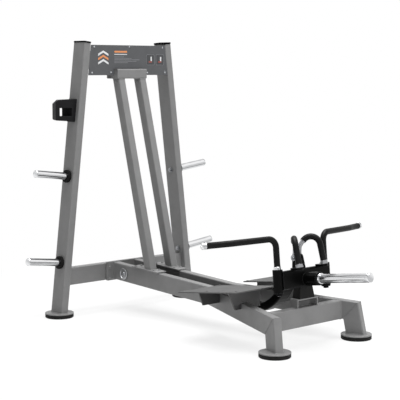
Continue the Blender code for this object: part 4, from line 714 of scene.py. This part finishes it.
grip_coat = coated_steel("coarse_grip_powder_coat", STEP_EDGE_RADIUS, **GRIP_COAT)
dress(grip_coat, *both("step_plate"))
for word, side in SIDES:
    for number, (x, y) in enumerate(STEP_BOLT_PLACES, 1):
        place, normal = seat_on(word + "_step_plate", (side * x, y, CLEAR_ABOVE_Z), (0, 0, -1))
        turned_piece("%s_step_bolt_%d" % (word, number), [(STEP_BUTTON, SCREW_STEPS)], place, normal,
                     grip_coat)


# Bumper: a solid block of cast black rubber that the carriage rests on, bonded to a folded
# bracket. The rubber is dull with a little grey dust. The bracket is 6 mm steel, coated with the
# frame and welded by its two feet to the front crossbeam.

BUMPER_RUBBER = {"colour": "#121212", "pale": "#1a1a19", "roughness": 0.58, "shine": 0.12}
BRACKET_LOW, BRACKET_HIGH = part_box("bumper_bracket")
BRACKET_WALL = 0.006
BRACKET_WELD_END_Y = -0.560

bumper_rubber = moulded_black("cast_bumper_rubber", **BUMPER_RUBBER)
dress(bumper_rubber, "bumper")
dress(grey_powder_coat, "bumper_bracket")
for word, outer, inner in (("left", BRACKET_LOW.x, BRACKET_LOW.x + BRACKET_WALL),
                           ("right", BRACKET_HIGH.x, BRACKET_HIGH.x - BRACKET_WALL)):
    foot = [Vector((x, y, BRACKET_LOW.z)) for x, y in
            ((outer, BRACKET_LOW.y), (inner, BRACKET_LOW.y), (inner, BRACKET_WELD_END_Y),
             (outer, BRACKET_WELD_END_Y))]
    weld_bead(word + "_bracket_weld", foot, WELD_RADIUS, grey_weld_coat)


# Lever arm and carriage: steel tube and plate, welded and coated in semi-gloss black.
# The gloss is higher than on the frame, and every edge carries a pale painted highlight.

BLACK_COAT = {"colour": "#060606", "cloud": "#090909", "edge_highlight": "#48484b", "roughness": 0.30, "shine": 0.06}
BLACK_EDGE_RADIUS = 0.0028
CARRIAGE_TIP = math.radians(5.5)
CARRIAGE_MIDDLE = Vector((0.0, -0.56399, 0.3726))
FORWARD = Vector((0.0, -math.cos(CARRIAGE_TIP), math.sin(CARRIAGE_TIP)))
UPWARD = Vector((0.0, math.sin(CARRIAGE_TIP), math.cos(CARRIAGE_TIP)))
SIDEWAYS = Vector((1.0, 0.0, 0.0))
HORN_RISE = math.radians(7.7)
HORN_AXIS = Vector((0.0, -math.cos(HORN_RISE), math.sin(HORN_RISE)))
HORN_ROOT = Vector((0.0, -0.60099, 0.3708))
BOSS_RADIUS = 0.038
BEAM_FRONT = 0.037
BOSS_WELD_STEPS = 40

black_powder_coat = coated_steel("black_powder_coated_steel", BLACK_EDGE_RADIUS, **BLACK_COAT)
dress(black_powder_coat, "lever_arm", "carriage_beam", "handle_lug", *both("handle_sleeve"))


def carriage_at(x, forward, upward):
    """Place on the tipped carriage, from its middle."""
    return CARRIAGE_MIDDLE + SIDEWAYS * x + FORWARD * forward + UPWARD * upward


boss_middle = (HORN_ROOT - CARRIAGE_MIDDLE).dot(UPWARD)
boss_turns = [math.tau * i / BOSS_WELD_STEPS for i in range(BOSS_WELD_STEPS)]
boss_ring = [carriage_at(BOSS_RADIUS * math.cos(a), BEAM_FRONT, boss_middle + BOSS_RADIUS * math.sin(a))
             for a in boss_turns]
black_weld_coat = coated_steel("black_powder_coated_weld", WELD_EDGE_RADIUS, **BLACK_COAT)
weld_bead("boss_weld", boss_ring, WELD_RADIUS, black_weld_coat, "arm")
weld_bead("arm_neck_weld", end_outline("lever_arm", FORWARD), WELD_RADIUS,
          black_weld_coat, "arm")


# Swivelling outer handles: 27 mm chrome plated steel bar, bent at the elbow and again in the grip.
# A collar rests on the sleeve, a dull blackened washer and nut hold the spigot below it, and a
# grooved knob closes the far end. The grip is a long drawn rubber tube with a soft satin sheen.

SLEEVE_OUT = 0.191
SPIGOT_FOOT = -0.0800
SLEEVE_TOP = 0.0643
SLEEVE_FOOT = -0.0643
COLLAR_TALL = 0.016
RISER_HEIGHT = 0.2324
ELBOW_RADIUS = 0.048
GRIP_SWEEP = math.radians(9.8)
GRIP_END_SWEEP = math.radians(19.9)
GRIP_BEND_AT = 0.287
GRIP_BEND_RADIUS = 0.120
GRIP_END_REACH = 0.173
KNOB_LENGTH = 0.026
BAR_RADIUS = 0.0135
BAR_SIDES = 36
BEND_STEPS = 18
# Steps of the bar: distance along it from where they start, and radius.
SPIGOT_STEPS = ((0.0, 0.0), (0.0, 0.0085), (0.0010, 0.0095), (SLEEVE_FOOT - SPIGOT_FOOT, 0.0095),
                (SLEEVE_FOOT - SPIGOT_FOOT, 0.0155), (SLEEVE_TOP - SPIGOT_FOOT, 0.0155))
COLLAR_STEPS = ((0.0, 0.0187), (0.0008, 0.0195), (COLLAR_TALL - 0.0008, 0.0195), (COLLAR_TALL, 0.0187),
                (COLLAR_TALL, BAR_RADIUS))
KNOB_STEPS = ((0.0, BAR_RADIUS), (0.0, 0.0172), (0.0010, 0.0182), (0.0080, 0.0182), (0.0085, 0.0168),
              (0.0105, 0.0168), (0.0110, 0.0182), (0.0150, 0.0182), (0.0155, 0.0168),
              (0.0175, 0.0168), (0.0180, 0.0182), (0.0225, 0.0180), (0.0245, 0.0166),
              (0.0256, 0.0136), (KNOB_LENGTH, 0.0090), (KNOB_LENGTH, 0.0))
LOCK_WASHER = ((0.0100, 0.0), (0.0250, 0.0), (0.0255, 0.0006), (0.0255, 0.0034), (0.0250, 0.0040),
               (0.0100, 0.0040))
LOCK_NUT = ((0.0100, 0.0040), (0.0165, 0.0040), (0.0165, 0.0125), (0.0150, 0.0140), (0.0100, 0.0140))
LARGE_WASHER_STEPS = 36
PLAY = 0.0003
GRIP_RUBBER = {"colour": "#0e0e0e", "pale": "#161616", "roughness": 0.40, "shine": 0.10}
GRIP_RADIUS = 0.0172
GRIP_BORE = 0.0138
GRIP_LIP_HIGH = 0.0008
GRIP_LIP_STEPS = ((0.0, -0.0014), (0.0006, -0.0003), (0.0014, 0.0), (0.0042, 0.0),
                  (0.0056, -GRIP_LIP_HIGH))
MARKS_APART = 1e-5
MARK_REACHED = 1e-9
BLACKENED = {"colour": "#1a1a1b", "shade": "#121213", "roughness": 0.45}


def rounded_path(corners, radii, steps):
    """Centre line through corners, each inner corner rounded to its own bend radius."""
    path = [corners[0]]
    for before, corner, after, radius in zip(corners, corners[1:], corners[2:], radii):
        back = (before - corner).normalized()
        ahead = (after - corner).normalized()
        half = back.angle(ahead) / 2
        middle = corner + (back + ahead).normalized() * radius / math.sin(half)
        start = corner + back * radius / math.tan(half) - middle
        stop = corner + ahead * radius / math.tan(half) - middle
        path += [middle + start.slerp(stop, step / steps).normalized() * radius
                 for step in range(steps + 1)]
    return path + [corners[-1]]


def round_bar(bm, path, profile, closed=False):
    """Round bar or tube along a path: profile of distance along the path and radius there."""
    spans = [(b - a).length for a, b in zip(path, path[1:])]
    marks = [sum(spans[:i]) for i in range(len(path))]
    runs = [(b - a).normalized() for a, b in zip(path, path[1:])]
    runs = [runs[0]] + [(a + b).normalized() for a, b in zip(runs, runs[1:])] + [runs[-1]]
    across = runs[0].orthogonal().normalized()
    frames = []
    for run in runs:
        across = (across - run * across.dot(run)).normalized()
        frames.append(across)
    stops = [profile[0]]
    following = profile[1:] + (profile[:1] if closed else ())
    for (here, radius), (there, next_radius) in zip(profile, following):
        between = [m for m in marks if min(here, there) + MARKS_APART < m < max(here, there) - MARKS_APART]
        for mark in (between if there > here else between[::-1]):
            stops.append((mark, radius + (next_radius - radius) * (mark - here) / (there - here)))
        stops.append((there, next_radius))
    if closed:
        stops.pop()
    rings = []
    for mark, radius in stops:
        i = max(k for k in range(len(spans)) if marks[k] <= mark + MARK_REACHED)
        share = min(1.0, (mark - marks[i]) / spans[i])
        run = runs[i].lerp(runs[i + 1], share).normalized()
        first = frames[i].lerp(frames[i + 1], share)
        first = (first - run * first.dot(run)).normalized()
        rings.append(add_ring(bm, path[i].lerp(path[i + 1], share), first, run.cross(first), radius,
                              BAR_SIDES))
    stitch(bm, rings, closed)


def path_length(path):
    return sum((b - a).length for a, b in zip(path, path[1:]))


def shifted(steps, start):
    """Profile steps, counted from a place along the path."""
    return tuple((start + along, radius) for along, radius in steps)


def grip_profile(start, stop, bore):
    """Rubber tube with a rounded raised lip at each end, as a closed outline."""
    lip = GRIP_RADIUS + GRIP_LIP_HIGH
    near = [(start + along, lip + step) for along, step in GRIP_LIP_STEPS]
    far = [(stop - along, lip + step) for along, step in GRIP_LIP_STEPS[::-1]]
    return ((start, bore), *near, *far, (stop, bore))


def add_handle(name, path, profile, chrome, grip_start, grip_stop, bore, body):
    """Chrome bar along a path and the rubber grip pushed on it, as two pieces."""
    bar = bmesh.new()
    round_bar(bar, path, profile)
    grip = bmesh.new()
    round_bar(grip, path, grip_profile(grip_start, grip_stop, bore), closed=True)
    return (add_piece(name + "_handle_bar", bar, chrome, body),
            add_piece(name + "_handle_grip", grip, grip_rubber, body))


grip_rubber = moulded_black("drawn_grip_rubber", **GRIP_RUBBER)
blackened_steel = turned_metal("blackened_steel", **BLACKENED)
for word, side in SIDES:
    body = word + "_handle"
    out = SIDEWAYS * side
    first_run = out * math.cos(GRIP_SWEEP) - FORWARD * math.sin(GRIP_SWEEP)
    last_run = out * math.cos(GRIP_END_SWEEP) - FORWARD * math.sin(GRIP_END_SWEEP)
    spigot_end = carriage_at(side * SLEEVE_OUT, 0, SPIGOT_FOOT)
    elbow = carriage_at(side * SLEEVE_OUT, 0, RISER_HEIGHT)
    grip_bend = elbow + first_run * GRIP_BEND_AT
    bar_path = rounded_path([spigot_end, elbow, grip_bend, grip_bend + last_run * GRIP_END_REACH],
                            (ELBOW_RADIUS, GRIP_BEND_RADIUS), BEND_STEPS)
    collar_foot = SLEEVE_TOP - SPIGOT_FOOT
    knob = path_length(bar_path) - KNOB_LENGTH
    bar_steps = SPIGOT_STEPS + shifted(COLLAR_STEPS, collar_foot) + shifted(KNOB_STEPS, knob)
    bar_piece, grip_piece = add_handle(word + "_outer", bar_path, bar_steps, polished_chrome,
                                       collar_foot + COLLAR_TALL + PLAY, knob - PLAY,
                                       GRIP_BORE, body)
    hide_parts(word + "_handle_bar")
    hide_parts(word + "_handle_grip")
    under = carriage_at(side * SLEEVE_OUT, 0, SLEEVE_FOOT - PLAY)
    turned_piece(word + "_lock_nut", [(LOCK_WASHER, LARGE_WASHER_STEPS), (LOCK_NUT, HEXAGON)], under,
                 -UPWARD, blackened_steel, body, closed=True)


# Inner handles: 24 mm bar that rises from a collar on each ear, arches over and runs back down to
# the lug, where one cross bolt clamps both ends between large washers. Satin chrome gives a soft
# even grey. The rubber grip covers the front leg and the arch, and a clamp ring closes its rear.

SATIN_CHROME = {"colour": "#a9aaac", "shade": "#8f9093", "roughness": 0.26}
INNER_FOOT_OUT = 0.100
INNER_FOOT_FORWARD = 0.0793
INNER_FOOT_UP = 0.0663
INNER_END = Vector((0.0183, -0.52499, 0.480))
INNER_PEAK_OUT = 0.0265
INNER_PEAK_ALONG = 0.0524
INNER_PEAK_UP = 0.2275
INNER_KNEE_ALONG = 0.1267
INNER_KNEE_UP = 0.0949
INNER_ARCH_RADIUS = 0.0511
INNER_KNEE_RADIUS = 0.030
INNER_BAR_RADIUS = 0.0120
INNER_GRIP_BORE = 0.0123
INNER_COLLAR_TALL = 0.020
INNER_COLLAR_STEPS = ((0.0, 0.0), (0.0, 0.0195), (0.0008, 0.0205), (INNER_COLLAR_TALL - 0.0040, 0.0205),
                      (INNER_COLLAR_TALL - 0.0012, 0.0192), (INNER_COLLAR_TALL - 0.0008, INNER_BAR_RADIUS))
CLAMP_RING_STEPS = ((PLAY, INNER_BAR_RADIUS), (PLAY, 0.0160), (0.0010, 0.0166), (0.0060, 0.0166),
                    (0.0068, 0.0160), (0.0068, INNER_BAR_RADIUS))
INNER_TIP_STEPS = ((-0.0040, INNER_BAR_RADIUS), (-0.0015, 0.0106), (0.0, 0.0080), (0.0, 0.0))
CLAMP_SUNK = 0.0005
CLAMP_WASHER = ((0.0, 0.0), (0.0165, 0.0), (0.0170, 0.0005), (0.0170, 0.0025), (0.0165, 0.0030),
                (0.0, 0.0030))
CLAMP_NUT = ((0.0, 0.0028), (0.0105, 0.0028), (0.0105, 0.0088), (0.00966, 0.0100), (0.0, 0.0100))
BOLT_END_STEPS = 20
CLAMP_BOLT_END = ((0.0, 0.0098), (0.0056, 0.0098), (0.0056, 0.0124), (0.0048, 0.0132), (0.0, 0.0132))

satin_chrome = turned_metal("satin_chrome_plate", **SATIN_CHROME)
for word, side in SIDES:
    foot = carriage_at(side * INNER_FOOT_OUT, INNER_FOOT_FORWARD, INNER_FOOT_UP)
    bar_end = Vector((side * INNER_END.x, INNER_END.y, INNER_END.z))
    inward = Vector((bar_end.x - foot.x, bar_end.y - foot.y, 0)).normalized()
    peak = foot + inward * INNER_PEAK_ALONG + UPWARD * INNER_PEAK_UP
    peak.x += side * INNER_PEAK_OUT
    knee = foot + inward * INNER_KNEE_ALONG + UPWARD * INNER_KNEE_UP
    knee.x = bar_end.x
    bar_path = rounded_path([foot, peak, knee, bar_end], (INNER_ARCH_RADIUS, INNER_KNEE_RADIUS), BEND_STEPS)
    grip_stop = path_length(bar_path[:BEND_STEPS + 2])
    bar_steps = (INNER_COLLAR_STEPS + shifted(CLAMP_RING_STEPS, grip_stop)
                 + shifted(INNER_TIP_STEPS, path_length(bar_path)))
    bar_piece, grip_piece = add_handle(word + "_inner", bar_path, bar_steps, satin_chrome,
                                       INNER_COLLAR_TALL + PLAY, grip_stop, INNER_GRIP_BORE, "arm")
    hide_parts(word + "_inner_bar")
    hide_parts(word + "_inner_grip")
    seat = bar_end + SIDEWAYS * side * (INNER_BAR_RADIUS - CLAMP_SUNK)
    turned_piece(word + "_lug_clamp_nut", [(CLAMP_WASHER, LARGE_WASHER_STEPS), (CLAMP_NUT, HEXAGON),
                                           (CLAMP_BOLT_END, BOLT_END_STEPS)],
                 seat, SIDEWAYS * side, zinc_plate, "arm")


# Weight horn: 51 mm chrome plated bar for plates, on a tenon in the boss, with a turned root ring.
# It has the same bright mirror as the pegs, with the same painted reflection in its colour. A groove near
# the tip parts its pressed end cap, whose rim is rounded.

BOSS_LENGTH = 0.095
HORN_FOOT = BOSS_LENGTH + PLAY
HORN_REACH = 0.450
HORN_RADIUS = 0.0255
HORN_SIDES = 56
HORN_FOOT_STEPS = ((0.0, -0.0500), (0.0198, -0.0500), (0.0198, 0.0), (0.0285, 0.0), (0.0295, 0.0010),
                   (0.0295, 0.0115), (0.0285, 0.0135), (0.0262, 0.0140), (0.0240, 0.0146),
                   (0.0240, 0.0166), (HORN_RADIUS, 0.0172))
HORN_TIP_STEPS = ((HORN_RADIUS, -0.0215), (0.0243, -0.0205), (0.0243, -0.0185), (HORN_RADIUS, -0.0175),
                  (HORN_RADIUS, -0.0050), (0.0250, -0.0028), (0.0236, -0.0012), (0.0215, -0.0004),
                  (0.0, 0.0))

horn_profile = ([(radius, HORN_FOOT + along) for radius, along in HORN_FOOT_STEPS]
                + [(radius, HORN_REACH + along) for radius, along in HORN_TIP_STEPS])
horn_piece = turned_piece("chrome_weight_horn", [(horn_profile, HORN_SIDES)], HORN_ROOT, HORN_AXIS,
                          polished_chrome, "arm")
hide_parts("weight_horn")


# Studio: a pale floor, a soft box overhead and a wide soft light in front.
# White behind the object is a colour that camera and mirror rays see, and it lights nothing.
# The floor shows its shadow near the object and fades to plain white further out.

FLOOR_PALE = "#e6e6e6"
WHITE = "#ffffff"
FLOOR_RADIUS = 14.0
FLOOR_SIDES = 96
FLOOR_WHITE_NEAR = 0.80
FLOOR_FADE_FROM = 1.3
FLOOR_FADE_TO = 2.6
AMBIENT = 0.25
# Name, place, target, width, height, watts, and whether mirrors show it.
SOFT_BOXES = (("top_soft_box", (0.2, 0.0, 6.8), (0.0, 0.0, 0.4), 5.5, 5.5, 860.0, True),
              ("front_soft_box", (0.6, -6.8, 0.9), (0.0, 0.0, 0.3), 4.0, 2.4, 205.0, False))


def seen_directly(owner):
    """1 for rays from the camera, from a mirror or through glass, else 0."""
    path = add_node(owner, "LightPath")
    either = add_node(owner, "Math", {0: path.outputs["Is Camera Ray"], 1: path.outputs["Is Glossy Ray"]},
                      {"operation": "MAXIMUM"})
    any_of = add_node(owner, "Math", {0: either.outputs["Value"], 1: path.outputs["Is Transmission Ray"]},
                      {"operation": "MAXIMUM"})
    return any_of.outputs["Value"]


floor_finish, floor_place = new_material("pale_studio_floor")
shadowed = add_node(floor_finish, "BsdfDiffuse", {"Color": linear(FLOOR_PALE)})
white = add_node(floor_finish, "Emission", {"Color": linear(WHITE), "Strength": 1.0})
from_middle = add_node(floor_finish, "VectorMath", {0: floor_place}, {"operation": "LENGTH"})
fade = add_node(floor_finish, "MapRange",
                {"Value": from_middle.outputs["Value"], "From Min": FLOOR_FADE_FROM,
                 "From Max": FLOOR_FADE_TO, "To Min": FLOOR_WHITE_NEAR, "To Max": 1.0},
                {"interpolation_type": "SMOOTHSTEP"})
share = add_node(floor_finish, "Math", {0: seen_directly(floor_finish), 1: fade.outputs["Result"]},
                 {"operation": "MULTIPLY"})
floor_mix = add_node(floor_finish, "MixShader",
                     {0: share.outputs["Value"], 1: shadowed.outputs["BSDF"], 2: white.outputs["Emission"]})
add_node(floor_finish, "OutputMaterial", {"Surface": floor_mix.outputs["Shader"]})

floor_mesh = bpy.data.meshes.new("studio_floor")
floor_turns = [math.tau * i / FLOOR_SIDES for i in range(FLOOR_SIDES)]
floor_mesh.from_pydata([Vector((math.cos(a), math.sin(a), 0)) * FLOOR_RADIUS for a in floor_turns],
                       [], [list(range(FLOOR_SIDES))])
floor_mesh.materials.append(floor_finish)
floor = bpy.data.objects.new("studio_floor", floor_mesh)
bpy.context.scene.collection.objects.link(floor)

world = bpy.data.worlds.new("soft_white_studio")
bpy.context.scene.world = world
world.use_nodes = True
world.node_tree.nodes.clear()
ambient = add_node(world, "Background", {"Color": linear(WHITE), "Strength": AMBIENT})
backdrop = add_node(world, "Background", {"Color": linear(WHITE), "Strength": 1.0})
seen = add_node(world, "MixShader", {0: seen_directly(world), 1: ambient.outputs["Background"],
                                     2: backdrop.outputs["Background"]})
add_node(world, "OutputWorld", {"Surface": seen.outputs["Shader"]})

for name, place, target, wide, high, power, mirrored in SOFT_BOXES:
    lamp = bpy.data.lights.new(name, "AREA")
    lamp.shape = "RECTANGLE"
    lamp.size = wide
    lamp.size_y = high
    lamp.energy = power
    box = bpy.data.objects.new(name, lamp)
    box.location = place
    box.rotation_euler = (Vector(target) - Vector(place)).to_track_quat("-Z", "Y").to_euler()
    box.visible_glossy = mirrored
    bpy.context.scene.collection.objects.link(box)


# Camera: a long lens from the front left, a little below the top of the machine and tipped down.

SENSOR_MM = 36.0
LENS_MM = 112.19
FARTHEST_SEEN = 60.0
CAMERA_PLACE = (-5.0242, -5.1260, 1.5158)
CAMERA_TILT = math.radians(83.966)
CAMERA_TURN = math.radians(-43.02)

view = bpy.data.cameras.new("catalogue_camera")
view.sensor_width = SENSOR_MM
view.sensor_fit = "HORIZONTAL"
view.lens = LENS_MM
view.clip_end = FARTHEST_SEEN
camera = bpy.data.objects.new("catalogue_camera", view)
camera.location = CAMERA_PLACE
camera.rotation_euler = (CAMERA_TILT, 0.0, CAMERA_TURN)
bpy.context.scene.collection.objects.link(camera)
bpy.context.scene.camera = camera
bpy.context.scene.view_settings.view_transform = "Standard"
